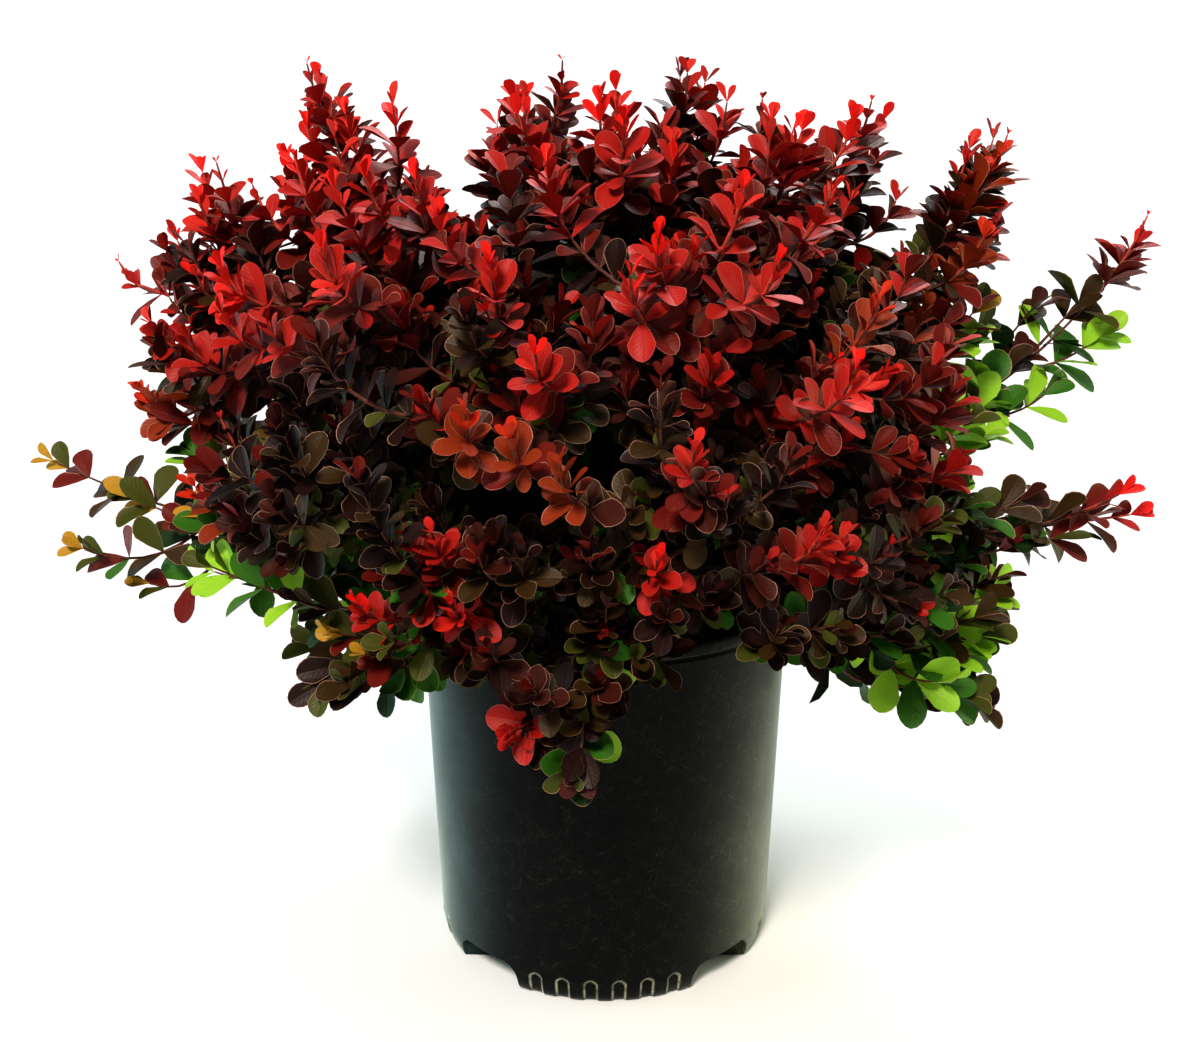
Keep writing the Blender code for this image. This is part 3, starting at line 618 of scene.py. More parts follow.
# %% [markdown]
# Leaves along a shoot
# Barberry leaves stand in clusters, one at every joint of the shoot, and each cluster is turned a
# golden angle on from the last. At the very tip a few short leaves stand up like a bud. Lower
# down they are full size and spread flat like a rosette. Some strong shoots have just run on, and
# carry tiny leaves on a thin new tip.

# %% Leaf placing
NODE_STEP, TIP_STEP = 11.0 * MM, 9.0 * MM
LEAFY_LENGTH = 105 * MM
INNER_STEP = 9 * MM
FULL_LEAF = 22.5 * MM
BUD_LEAF, TINY_LEAF = 11.0 * MM, 4.0 * MM
OLD_TIP_LEAF, OLD_GROWN_AT = 16.0 * MM, 16 * MM
GROWN_AT, SLENDER_GROWN_AT = 28 * MM, 34 * MM
SPREAD_TIP, SPREAD_FULL, SPREAD_AT = 29.0, 72.0, 38 * MM
INNER_SHAPE = 4
LOWEST_LEAVES = 0.5
SIDE_SCALE, FRONT_SCALE = 1.16, 0.80
LOW_RISE, LOW_EXTRA = 5.0, 0.25
FRONT_LIGHT = Vector((0.0, -0.75, 0.66)).normalized()
BACK_LIGHT = Vector((0.0, 0.75, 0.66)).normalized()
BACK_STARTS = 60 * MM
FLATTENING = 0.55
OPEN_STEP = 18.5 * MM
OPEN_SCALE = 1.14
leaves = {tint: [] for tint in TINTS}


def smooth(share):
    """A share from 0 to 1 that sets out and arrives gently."""
    share = max(0.0, min(1.0, share))
    return share * share * (3.0 - 2.0 * share)


def leaf_scale(way):
    """Leaves are smaller on the sunny front, and larger in the shade low down."""
    scale = SIDE_SCALE + (FRONT_SCALE - SIDE_SCALE) * max(0.0, -way.y)
    return scale + LOW_EXTRA * smooth((LOW_RISE - rise_of(way)) / 20.0)


def length_of(path):
    """Length of a path."""
    return sum((after - before).length for before, after in zip(path, path[1:]))


def along_path(path, distance):
    """Place and direction at a distance back from a path's tip."""
    for after, before in zip(reversed(path), reversed(path[:-1])):
        step = (after - before).length
        if distance <= step:
            break
        distance -= step
    return after.lerp(before, min(1.0, distance / step)), (after - before).normalized()


def depth_of(place):
    """How deep in the mound a place is: 0 in the outer seventh, 1 from the middle on."""
    share = (place - HEART).length / local_reach((place - HEART).normalized())
    return max(0.0, min(1.0, (0.86 - share) / 0.36))


def cluster(shoot, place, along, turn, size, spread, count, age, up, smallest=0.60):
    """The leaves of one joint; up is how much they lift their faces to the sky."""
    across = along.orthogonal().normalized()
    inner = depth_of(place)
    tint = tint_of(shoot, age, inner)
    light = BACK_LIGHT if place.y > BACK_STARTS else FRONT_LIGHT
    level = 1.0 - abs(along.dot(light))
    for number in range(count):
        around = turn + 2 * math.pi * number / count + chance.uniform(-0.55, 0.55)
        side = Matrix.Rotation(around, 3, along) @ across
        lean = math.radians(spread + chance.uniform(-15, 15))
        pointing = along * math.cos(lean) + side * math.sin(lean)
        pointing -= light * (pointing.dot(light) * FLATTENING * level)
        pointing.z += 0.12 * up
        pointing.normalize()
        length = size * (chance.uniform(0.90, 1.12) if number == 0 else
                         chance.uniform(smallest, 1.05))
        face = along * (1.0 - 0.8 * level) + light * (1.1 * level) - side * 0.15
        face += Vector((0, 0, 0.45 * up))
        face = (face - pointing * face.dot(pointing)).normalized()
        face = Matrix.Rotation(math.radians(chance.gauss(0, 14)), 3, pointing) @ face
        wide = pointing.cross(face) * (0.27 * length)
        middle = place + pointing * (0.6 * length)
        if not clear_of_pot((place, place + pointing * length, middle + wide, middle - wide)):
            continue
        if age > 1.0 or inner > 0.6 or (age > 0.6 and inner > 0.3):
            shape = INNER_SHAPE
        else:
            shape = 0 if size < 0.7 * FULL_LEAF else chance.choice((1, 1, 2, 2, 3))
        own = tint if chance.random() < 0.75 else tint_of(shoot, age + chance.uniform(0, 0.1),
                                                          inner)
        leaves[own].append((place, pointing, face, length, shape))


for shoot in shoots:
    path = shoot["path"]
    whole = length_of(path)
    leafy = min(LEAFY_LENGTH, 0.94 * whole)
    scale = leaf_scale((path[-1] - HEART).normalized())
    slender = shoot["slender"]
    if slender:
        first, grown_at = TINY_LEAF, SLENDER_GROWN_AT
    elif shoot["vigour"] < 0.4:
        first, grown_at = OLD_TIP_LEAF, OLD_GROWN_AT
    else:
        first, grown_at = BUD_LEAF, GROWN_AT
    is_open = shoot["tints"] in OPEN_HABIT
    full_step = OPEN_STEP if is_open else NODE_STEP
    scale *= OPEN_SCALE if is_open else 1.0
    turn = chance.uniform(0, 2 * math.pi)
    distance = 0.0
    while distance < leafy:
        place, along = along_path(path, distance)
        grown = smooth(distance / (grown_at * scale))
        size = scale * (first + (FULL_LEAF - first) * grown)
        opened = smooth(distance / (SPREAD_AT * scale))
        spread = SPREAD_TIP + (SPREAD_FULL - SPREAD_TIP) * opened
        if slender and grown < 0.4:
            count = 2
        elif is_open:
            count = chance.choice((2, 2, 3) if grown < 0.3 else (2, 3, 3))
        else:
            count = chance.choice((2, 3, 3) if grown < 0.3 else (3, 4, 5, 6))
        cluster(shoot, place, along, turn, size, spread, count, distance / LEAFY_LENGTH, grown,
                0.82 if is_open else 0.60)
        turn += GOLDEN_ANGLE
        step = scale * (TIP_STEP + (full_step - TIP_STEP) * grown)
        distance += step * chance.uniform(0.85, 1.15)
    inward = path
    if shoot["thick"] >= STEM_RADIUS:
        mass = shoot["mass"]
        inward = [mass.point(mass.cane_end * LOWEST_LEAVES), *path]
        whole = length_of(inward)
    while distance < 0.97 * whole and shoot["thick"] >= TWIG_RADIUS:
        place, along = along_path(inward, distance)
        cluster(shoot, place, along, turn, FULL_LEAF, SPREAD_FULL, 5, 1.01, 0.6)
        turn += GOLDEN_ANGLE
        distance += INNER_STEP
print("leaves:", sum(len(rows) for rows in leaves.values()))

# %% [markdown]
# The leaf
# One leaf is widest past its middle, rounded at its end, and narrows to a wedge with hardly any
# stalk. It could be a flat card, but a real one is folded along its midrib and cupped, and light
# shining through its thin edge shows as a fine pale outline on the dark leaves. So the sheet has a
# midrib line, two halves that rise from it, and a narrow strip round the edge whose paler finish
# is painted rim light.


# %% Leaf shapes
WIDEST = 0.64


def half_width(x, width):
    """Half the leaf's width: a wedge up to the widest place, and a rounded end after it."""
    low = 0.05 + 0.95 * math.sin(0.5 * math.pi * min(1.0, x / WIDEST)) ** 1.45
    high = math.sqrt(max(0.0, 1.0 - (max(0.0, x - WIDEST) / (1.0 - WIDEST)) ** 2))
    return 0.5 * width * low * high


def stations(rows):
    """Places along the leaf: few up to its widest, closer together round its end."""
    wedge = rows // 3
    end = rows - wedge
    return ([WIDEST * step / wedge for step in range(wedge)]
            + [WIDEST + (1.0 - WIDEST) * math.sin(0.5 * math.pi * step / end)
               for step in range(end + 1)])


def keep_blade(mesh):
    """Store each point's place on its own leaf, so that the veins can follow the blade."""
    layer = mesh.attributes.new("blade", "FLOAT_VECTOR", "POINT")
    layer.data.foreach_set("vector", [c for vertex in mesh.vertices for c in vertex.co])


def leaf_sheet(name, width, cup, curl, rows):
    """A leaf one unit long along +X with its upper side towards +Z."""
    outer_x = stations(rows)
    half = [half_width(x, width) for x in outer_x]
    half[-1] = 0.0

    def lifted(x, y):
        fold = abs(y) / (0.5 * width)
        return (x, y, cup * width * fold * fold + 0.09 * width * fold - curl * x * x)

    vertices, faces, margin = [], [], []
    rings = []
    for side in (1, -1):
        outer = [lifted(x, side * h) for x, h in zip(outer_x, half)]
        inner = [lifted(0.5 + (x - 0.5) * 0.98, side * h * 0.95)
                 for x, h in zip(outer_x, half)]
        rings.append((len(vertices), len(vertices) + len(outer)))
        vertices += outer + inner
    mid = len(vertices)
    vertices += [lifted(0.5 + (x - 0.5) * 0.98, 0.0) for x in outer_x]
    for side, (outer, inner) in enumerate(rings):
        for row in range(rows):
            strip = (outer + row, outer + row + 1, inner + row + 1, inner + row)
            blade = (inner + row, inner + row + 1, mid + row + 1, mid + row)
            faces += [strip[::-1], blade[::-1]] if side == 0 else [strip, blade]
            # margin marks the edge-strip faces, which take the painted rim light
            margin += [True, False]
    mesh = bpy.data.meshes.new(name)
    mesh.from_pydata(vertices, [], faces)
    work = bmesh.new()
    work.from_mesh(mesh)
    tag = work.faces.layers.int.new("margin")
    for face, is_painted_rim in zip(work.faces, margin):
        face[tag] = int(is_painted_rim)
        face.smooth = True
    bmesh.ops.remove_doubles(work, verts=work.verts, dist=1e-4)
    bmesh.ops.dissolve_degenerate(work, edges=work.edges, dist=1e-4)
    work.to_mesh(mesh)
    work.free()
    keep_blade(mesh)
    return bpy.data.objects.new(name, mesh)


def plain_sheet(name, width, cup, curl, rows):
    """The same leaf without the edge strip: young leaves and the ones inside get no painted rim
    light.
    """
    xs = stations(rows)
    vertices = [(x, 0.0, -curl * x * x) for x in xs]
    for side in (1, -1):
        for x in xs[:-1]:
            reach = half_width(x, width)
            vertices.append((x, side * reach, cup * reach - curl * x * x))
    faces = []
    for side, first in ((1, rows + 1), (-1, 2 * rows + 1)):
        ring = [(k, k + 1, first + k + 1, first + k) for k in range(rows - 1)]
        ring.append((rows - 1, rows, first + rows - 1))
        faces += ring if side == 1 else [face[::-1] for face in ring]
    mesh = bpy.data.meshes.new(name)
    mesh.from_pydata(vertices, [], faces)
    # the margin attribute stays empty here: these leaves get no painted rim light
    mesh.attributes.new("margin", "INT", "FACE")
    mesh.shade_smooth()
    keep_blade(mesh)
    return bpy.data.objects.new(name, mesh)


leaf_shapes = bpy.data.collections.new("leaf_shapes")
for item in (plain_sheet("leaf_a_young", 0.52, 0.45, -0.06, 5),
             leaf_sheet("leaf_b_cupped", 0.58, 0.16, 0.06, 6),
             plain_sheet("leaf_c_flat", 0.54, 0.20, 0.14, 6),
             leaf_sheet("leaf_d_broad", 0.64, 0.10, 0.12, 6),
             plain_sheet("leaf_e_inner", 0.58, 0.30, 0.10, 3)):
    leaf_shapes.objects.link(item)
    print(item.name, len(item.data.polygons), "faces")


# %% Leaf finishes
VEINS = 8.0
VEIN_SLANT = 1.15
LEAF_GLOSS = 0.16


def ranged(tree, source, low, high, to_low=0.0, to_high=1.0):
    """A value stretched from low..high to to_low..to_high, and held there."""
    return add(tree, "ShaderNodeMapRange", {"Value": source},
               {"From Min": low, "From Max": high, "To Min": to_low, "To Max": to_high}).outputs[0]


def calculated(tree, operation, first, second=None):
    """One or two values through one operation; a plain number goes in as a value."""
    made = add(tree, "ShaderNodeMath", operation=operation)
    for slot, value in enumerate((first, second)):
        if isinstance(value, float):
            made.inputs[slot].default_value = value
        elif value is not None:
            tree.links.new(value, made.inputs[slot])
    return made.outputs[0]


def leaf_finish(name, colour, rough):
    """Satin leaf skin: plain colour, sunken midrib and slanting veins, a fine unevenness."""
    made, tree, output = new_material(name)
    blade = add(tree, "ShaderNodeAttribute", attribute_name="blade")
    parts = add(tree, "ShaderNodeSeparateXYZ", {"Vector": blade.outputs["Vector"]})
    across = calculated(tree, "ABSOLUTE", parts.outputs["Y"])
    slanted = calculated(tree, "SUBTRACT", parts.outputs["X"],
                         calculated(tree, "MULTIPLY", across, VEIN_SLANT))
    wave = calculated(tree, "SINE", calculated(tree, "MULTIPLY", slanted,
                                               2 * math.pi * VEINS))
    veins = ranged(tree, wave, 0.5, 1.0, 1.0, 0.65)
    midrib = ranged(tree, across, 0.0, 0.045, 0.0, 1.0)
    place = add(tree, "ShaderNodeTexCoord")
    noise = add(tree, "ShaderNodeTexNoise", {"Vector": place.outputs["Object"]},
                {"Scale": 1 / (2.6 * MM), "Detail": 3.0})
    skin = calculated(tree, "ADD", calculated(tree, "MULTIPLY", veins, midrib),
                      noise.outputs["Fac"])
    bump = add(tree, "ShaderNodeBump", {"Height": skin}, {"Strength": 0.55, "Distance": 0.3 * MM})
    shader = add(tree, "ShaderNodeBsdfPrincipled", {"Normal": bump.outputs["Normal"]},
                 {"Base Color": colour, "Roughness": rough, "Specular IOR Level": LEAF_GLOSS})
    tree.links.new(shader.outputs[0], output.inputs["Surface"])
    return made


# %% [markdown]
# Dealing out the leaves
# Every tint is one cloud of points. Each point carries the direction of its leaf, the way its
# upper side faces, its length and its shape, and a tree of geometry nodes puts the leaf there,
# turns it and scales it. The tree ends in real faces, because copies that are only instances
# would be lost when the model leaves Blender.


# %% The tree that places leaves
def interface(tree, name, kind, value=None, out=False):
    """A named socket of a geometry tree."""
    made = tree.interface.new_socket(name, in_out="OUTPUT" if out else "INPUT", socket_type=kind)
    if value is not None:
        made.default_value = value
    return made


def leaf_tree():
    """Instances of the leaf shapes on points that carry way, face, length and shape."""
    tree = bpy.data.node_groups.new("place_leaves", "GeometryNodeTree")
    interface(tree, "Geometry", "NodeSocketGeometry", out=True)
    interface(tree, "Geometry", "NodeSocketGeometry")
    interface(tree, "Leaf shapes", "NodeSocketCollection")
    interface(tree, "Length scale", "NodeSocketFloat", 1.0)
    interface(tree, "Blade", "NodeSocketMaterial")
    interface(tree, "Margin", "NodeSocketMaterial")
    start = add(tree, "NodeGroupInput")
    end = add(tree, "NodeGroupOutput")
    way = add(tree, "GeometryNodeInputNamedAttribute", values={"Name": "way"},
              data_type="FLOAT_VECTOR")
    face = add(tree, "GeometryNodeInputNamedAttribute", values={"Name": "face"},
               data_type="FLOAT_VECTOR")
    length = add(tree, "GeometryNodeInputNamedAttribute", values={"Name": "length"},
                 data_type="FLOAT")
    shape = add(tree, "GeometryNodeInputNamedAttribute", values={"Name": "shape"},
                data_type="INT")
    turn = add(tree, "FunctionNodeAxesToRotation", {"Primary Axis": face.outputs[0],
                                                    "Secondary Axis": way.outputs[0]},
               primary_axis="Z", secondary_axis="X")
    size = add(tree, "ShaderNodeMath", {0: length.outputs[0], 1: start.outputs["Length scale"]},
               operation="MULTIPLY")
    shapes = add(tree, "GeometryNodeCollectionInfo", {"Collection": start.outputs["Leaf shapes"]},
                 {"Separate Children": True, "Reset Children": True})
    placed = add(tree, "GeometryNodeInstanceOnPoints",
                 {"Points": start.outputs["Geometry"], "Instance": shapes.outputs[0],
                  "Instance Index": shape.outputs[0], "Rotation": turn.outputs[0],
                  "Scale": size.outputs[0]}, {"Pick Instance": True})
    real = add(tree, "GeometryNodeRealizeInstances", {"Geometry": placed.outputs[0]})
    # margin marks the edge-strip faces; they get the painted rim light material
    margin = add(tree, "GeometryNodeInputNamedAttribute", values={"Name": "margin"},
                 data_type="INT")
    blade = add(tree, "GeometryNodeSetMaterial", {"Geometry": real.outputs[0],
                                                  "Material": start.outputs["Blade"]})
    rim = add(tree, "GeometryNodeSetMaterial",
              {"Geometry": blade.outputs[0], "Selection": margin.outputs[0],
               "Material": start.outputs["Margin"]})
    tree.links.new(rim.outputs[0], end.inputs[0])
    return tree


def set_input(modifier, name, value):
    """Set a geometry tree's input by its socket's identifier."""
    for item in modifier.node_group.interface.items_tree:
        if item.item_type == "SOCKET" and item.in_out == "INPUT" and item.name == name:
            modifier[item.identifier] = value
            return
    raise KeyError(name)


def grown(name, base, tree, inputs):
    """Evaluate a geometry tree on a base mesh and keep the result as one plain mesh object."""
    holder = bpy.data.objects.new(name, base)
    bpy.context.scene.collection.objects.link(holder)
    modifier = holder.modifiers.new("grow", "NODES")
    modifier.node_group = tree
    for key, value in inputs.items():
        set_input(modifier, key, value)
    evaluated = holder.evaluated_get(bpy.context.evaluated_depsgraph_get())
    mesh = bpy.data.meshes.new_from_object(evaluated)
    bpy.data.objects.remove(holder)
    mesh.name = name
    made = bpy.data.objects.new(name, mesh)
    bpy.context.scene.collection.objects.link(made)
    return made


place_leaves = leaf_tree()
foliage_nodes = ["foliage_" + mass.name for mass in masses]
# The pale colour below is mixed into each leaf's edge strip as painted rim light, standing in for
# light
# through the thin edge; the red leaves get less of it
PAINTED_RIM_LIGHT = linear("#D9A992")
YOUNG_TINTS = ("scarlet", "coral", "crimson", "vermilion")
RED_RIM_LIGHT, DARK_RIM_LIGHT = 0.18, 0.40
MOST_LEAVES = 3800
pieces = []
for tint, rows in leaves.items():
    for part in range(0, len(rows), MOST_LEAVES):
        dealt = rows[part:part + MOST_LEAVES]
        cloud = bpy.data.meshes.new("points")
        cloud.vertices.add(len(dealt))
        cloud.vertices.foreach_set("co", [c for row in dealt for c in row[0]])
        for key, kind, column in (("way", "FLOAT_VECTOR", 1), ("face", "FLOAT_VECTOR", 2),
                                  ("length", "FLOAT", 3), ("shape", "INT", 4)):
            layer = cloud.attributes.new(key, kind, "POINT")
            if kind == "FLOAT_VECTOR":
                layer.data.foreach_set("vector", [c for row in dealt for c in row[column]])
            else:
                layer.data.foreach_set("value", [row[column] for row in dealt])
        colour = linear(TINTS[tint])
        # rim is the leaf's tint lightened for its edge strip: painted rim light
        rim = mixed(colour, PAINTED_RIM_LIGHT, RED_RIM_LIGHT if tint in YOUNG_TINTS else DARK_RIM_LIGHT)
        piece = grown("leaves_%s_%d" % (tint, part // MOST_LEAVES), cloud, place_leaves,
                      {"Leaf shapes": leaf_shapes, "Length scale": 1.0,
                       "Blade": leaf_finish("waxy_leaf_" + tint, colour, 0.45),
                       "Margin": leaf_finish("leaf_rim_light_" + tint, rim, 0.5)})
        pieces.append(piece)
        print(piece.name, len(dealt), "leaves,", len(piece.data.polygons), "faces")

# %% [markdown]
# Twigs
# Twigs are round and taper to nothing. A line with a thickness at every point is all that a tree
# of geometry nodes needs to wrap a skin round it.


# %% Twig tree and bark finish
def twig_tree():
    """Tubes along lines, as thick as the attribute called thick."""
    tree = bpy.data.node_groups.new("wrap_twigs", "GeometryNodeTree")
    interface(tree, "Geometry", "NodeSocketGeometry", out=True)
    interface(tree, "Geometry", "NodeSocketGeometry")
    interface(tree, "Sides", "NodeSocketInt", 5)
    interface(tree, "Bark", "NodeSocketMaterial")
    start = add(tree, "NodeGroupInput")
    end = add(tree, "NodeGroupOutput")
    thick = add(tree, "GeometryNodeInputNamedAttribute", values={"Name": "thick"},
                data_type="FLOAT")
    line = add(tree, "GeometryNodeMeshToCurve", {"Mesh": start.outputs["Geometry"]})
    ring = add(tree, "GeometryNodeCurvePrimitiveCircle", {"Resolution": start.outputs["Sides"]},
               {"Radius": 1.0})
    skin = add(tree, "GeometryNodeCurveToMesh",
               {"Curve": line.outputs[0], "Profile Curve": ring.outputs[0],
                "Scale": thick.outputs[0]}, {"Fill Caps": True})
    real = add(tree, "GeometryNodeRealizeInstances", {"Geometry": skin.outputs[0]})
    done = add(tree, "GeometryNodeSetMaterial", {"Geometry": real.outputs[0],
                                                 "Material": start.outputs["Bark"]})
    tree.links.new(done.outputs[0], end.inputs[0])
    return tree


def bark_finish(name, dark, light):
    """Thin ridged bark: two browns broken up at a millimetre or so, and a rough skin."""
    made, tree, output = new_material(name)
    place = add(tree, "ShaderNodeTexCoord")
    noise = add(tree, "ShaderNodeTexNoise", {"Vector": place.outputs["Object"]},
                {"Scale": 1 / (3.0 * MM), "Detail": 5.0, "Roughness": 0.6})
    ramp = add(tree, "ShaderNodeValToRGB", {"Fac": noise.outputs["Fac"]})
    ramp.color_ramp.elements[0].position = 0.35
    ramp.color_ramp.elements[0].color = dark
    ramp.color_ramp.elements[1].position = 0.68
    ramp.color_ramp.elements[1].color = light
    bump = add(tree, "ShaderNodeBump", {"Height": noise.outputs["Fac"]},
               {"Strength": 0.5, "Distance": 0.4 * MM})
    shader = add(tree, "ShaderNodeBsdfPrincipled",
                 {"Base Color": ramp.outputs["Color"], "Normal": bump.outputs["Normal"]},
                 {"Roughness": 0.75})
    tree.links.new(shader.outputs[0], output.inputs["Surface"])
    return made


young_bark = bark_finish("red_brown_young_bark", linear("#33160F"), linear("#6E3420"))
new_bark = bark_finish("scarlet_new_bark", linear("#8E1D16"), linear("#C0402C"))
old_bark = bark_finish("grey_brown_old_bark", linear("#2A1D14"), linear("#6B5340"))
wrap_twigs = twig_tree()
NEW_BARK_LENGTH = 30 * MM


def twig_piece(name, strands, sides, finish):
    """One piece of twigs from strands of places and radii."""
    points, edges, thick = [], [], []
    for strand in strands:
        for index, (point, radius) in enumerate(strand):
            if index:
                edges.append((len(points) - 1, len(points)))
            points.append(tuple(point))
            thick.append(radius)
    lines = bpy.data.meshes.new("twig_lines")
    lines.from_pydata(points, edges, [])
    lines.attributes.new("thick", "FLOAT", "POINT").data.foreach_set("value", thick)
    made = grown(name, lines, wrap_twigs, {"Sides": sides, "Bark": finish})
    print(name, len(made.data.polygons), "faces")
    return made


strands, new_strands = [], []
for shoot in shoots:
    path, steps = shoot["path"], len(shoot["path"]) - 1
    strand = [(point, shoot["thick"] + (TWIG_TIP_RADIUS - shoot["thick"]) * index / steps)
              for index, point in enumerate(path)]
    strands.append(strand)
    if shoot["vigour"] > 0.6:
        end, middle, start = (along_path(path, NEW_BARK_LENGTH * share)[0]
                              for share in (0.0, 0.5, 1.0))
        new_strands.append([(start, 1.05 * MM), (middle, 0.85 * MM), (end, 0.5 * MM)])
twigs = twig_piece("twigs", strands, 5, young_bark)
new_twigs = twig_piece("new_twigs", new_strands, 5, new_bark)

# %% [markdown]
# Canes and the woody crown
# The canes are thicker and older, with shallow ridges that run along them. They could be smooth
# tubes with a bump, but the ridges show against the light, so they are in the mesh.


# %% Limbs with relief
def limb(path, radii, sides, steps, seed):
    """Vertices and faces of a closed round limb with ridges along it."""
    vertices, faces = [], []
    across = None
    for index, (point, radius) in enumerate(zip(path, radii)):
        before, after = path[max(index - 1, 0)], path[min(index + 1, len(path) - 1)]
        along = (after - before).normalized()
        if across is None:
            across = along.orthogonal().normalized()
        across = (across - along * across.dot(along)).normalized()
        side = along.cross(across)
        for corner in range(sides):
            angle = 2 * math.pi * corner / sides
            ridge = 1.0 + 0.07 * math.sin(5 * angle + seed + 0.5 * index)
            ridge += 0.05 * math.sin(3 * angle - seed + 1.3 * index)
            vertices.append(point + radius * ridge * (across * math.cos(angle)
                                                      + side * math.sin(angle)))
    faces.append(tuple(range(sides - 1, -1, -1)))
    last = len(vertices) - sides
    faces.append(tuple(range(last, last + sides)))
    for ring in range(len(path) - 1):
        for corner in range(sides):
            after = (corner + 1) % sides
            low, high = ring * sides, (ring + 1) * sides
            faces.append((low + corner, low + after, high + after, high + corner))
    return vertices, faces


def mesh_piece(name, vertices, faces, finish):
    """A smooth-shaded object from vertices and faces, turned the right way out."""
    mesh = bpy.data.meshes.new(name)
    mesh.from_pydata([tuple(v) for v in vertices], [], faces)
    work = bmesh.new()
    work.from_mesh(mesh)
    bmesh.ops.recalc_face_normals(work, faces=work.faces)
    work.to_mesh(mesh)
    work.free()
    mesh.shade_smooth()
    mesh.materials.append(finish)
    made = bpy.data.objects.new(name, mesh)
    bpy.context.scene.collection.objects.link(made)
    return made


CANE_RINGS = 26
all_vertices, all_faces = [], []
for mass in masses:
    first = HEAD_RADIUS - 1.5 * MM
    path, radii = [], []
    for step in range(CANE_RINGS + 1):
        share = step / CANE_RINGS
        path.append(mass.point(first + (mass.cane_end + 1 * MM - first) * share))
        swell = 1.0 + 0.05 * math.sin(3.1 * step + mass.index)
        radii.append((CANE_RADIUS + (CANE_TIP_RADIUS - CANE_RADIUS) * share) * swell)
    vertices, faces = limb(path, radii, 14, CANE_RINGS, mass.index)
    offset = len(all_vertices)
    all_vertices += vertices
    all_faces += [tuple(index + offset for index in face) for face in faces]
canes = mesh_piece("canes", all_vertices, all_faces, old_bark)

WAIST_RADIUS = 19 * MM
FLARE_RADIUS = 31 * MM
path, radii = [], []
CROWN_RINGS = 22
bottom = SOIL_TOP + CLEAR
top = HEART.z + HEAD_RADIUS
for step in range(CROWN_RINGS + 1):
    height = bottom + (top - bottom) * step / CROWN_RINGS
    up = height - HEART.z
    head = math.sqrt(max(0.0, HEAD_RADIUS ** 2 - up * up))
    flare = WAIST_RADIUS + (FLARE_RADIUS - WAIST_RADIUS) * math.exp(-(height - bottom)
                                                                     / (4 * MM))
    path.append(Vector((0, 0, height)))
    radii.append(max(0.4 * MM, max(head, flare) if up < 0 else head))
vertices, faces = limb(path, radii, 40, CROWN_RINGS, 2)
root_crown = mesh_piece("woody_crown", vertices, faces, old_bark)

# %% [markdown]
# The pot
# A nursery pot is blow-moulded from black polyethylene: thin, faintly waxy, never quite even. Its
# rim is a narrow band over a groove. At the ground the wall turns in and is cut away in four
# arches, and between them the feet carry rows of small arched recesses. The wall is turned as one
# closed shell, the recesses are pressed into its points, and the arches are cut with a Boolean.

# %% Pot sizes and wall
BASE_RADIUS = 106.3 * MM
NECK_RADIUS = 113.3 * MM
FOOT_RADIUS = 102.5 * MM
CORNER_HEIGHT = 13 * MM
RIM_BAND = 8 * MM
POT_WALL = 2.0 * MM
ARCH_TURN = 42.5
ARCH_HALF_WIDTH = 24.5 * MM
ARCH_HEIGHT = 16.5 * MM
ARCH_CORNER = 10 * MM
ARCH_INNER_RADIUS = 85 * MM
ARCH_INNER_HALF_WIDTH = 7.5 * MM
ARCH_FACE_RADIUS = 99.5 * MM
OUTSIDE = 130 * MM
RECESSES = 6
RECESS_PITCH = 9.0
RECESS_HALF_WIDTH = 4.6 * MM
RECESS_HEIGHT = 15.5 * MM
RECESS_DEPTH = 1.3 * MM
WALL_STEPS = 720


def wall_radius(height):
    """Outer radius of the pot's wall, with its rounded corner at the ground."""
    straight = BASE_RADIUS + (NECK_RADIUS - BASE_RADIUS) * height / (POT_HEIGHT - RIM_BAND)
    if height >= CORNER_HEIGHT:
        return straight
    short = 1.0 - max(height, 0.0) / CORNER_HEIGHT
    return straight - (BASE_RADIUS - FOOT_RADIUS) * (1.0 - math.sqrt(1.0 - short * short))


def recess(angle, height):
    """How deep (0 to 1) the wall is pressed in at an angle (degrees from the front)."""
    around = (angle + 45.0) % 90.0 - 45.0
    slot = around / RECESS_PITCH + 0.5 * (RECESSES - 1)
    nearest = round(slot)
    if not 0 <= nearest < RECESSES:
        return 0.0
    across = abs(slot - nearest) * math.radians(RECESS_PITCH) * BASE_RADIUS
    straight = RECESS_HEIGHT - RECESS_HALF_WIDTH
    over = max(0.0, height - straight)
    reach = math.hypot(across, over)
    return max(0.0, min(1.0, (RECESS_HALF_WIDTH - reach) / (1.5 * MM)))


neck = POT_HEIGHT - RIM_BAND
outer = [(wall_radius(z * MM), z * MM) for z in range(0, 17)]
outer += [(wall_radius(z * MM), z * MM) for z in (22, 80, 150, 205)]
outer += [(NECK_RADIUS - 0.1 * MM, neck - 2.4 * MM), (NECK_RADIUS - 1.0 * MM, neck - 1.2 * MM),
          (NECK_RADIUS - 1.0 * MM, neck), (RIM_RADIUS - 0.5 * MM, neck + 0.8 * MM),
          (RIM_RADIUS - 0.1 * MM, neck + 1.8 * MM), (RIM_RADIUS, POT_HEIGHT - 2 * MM),
          (RIM_RADIUS - 0.4 * MM, POT_HEIGHT - 0.6 * MM), (RIM_RADIUS - 1.2 * MM, POT_HEIGHT)]
inner = [(wall_radius(z * MM) - POT_WALL, z * MM) for z in (2.2, 6, 14, 50, 100, 150)]
inner += [(NECK_RADIUS - POT_WALL, neck), (RIM_RADIUS - 3.0 * MM, POT_HEIGHT - 2 * MM),
          (RIM_RADIUS - 2.4 * MM, POT_HEIGHT + 1 * MM)]


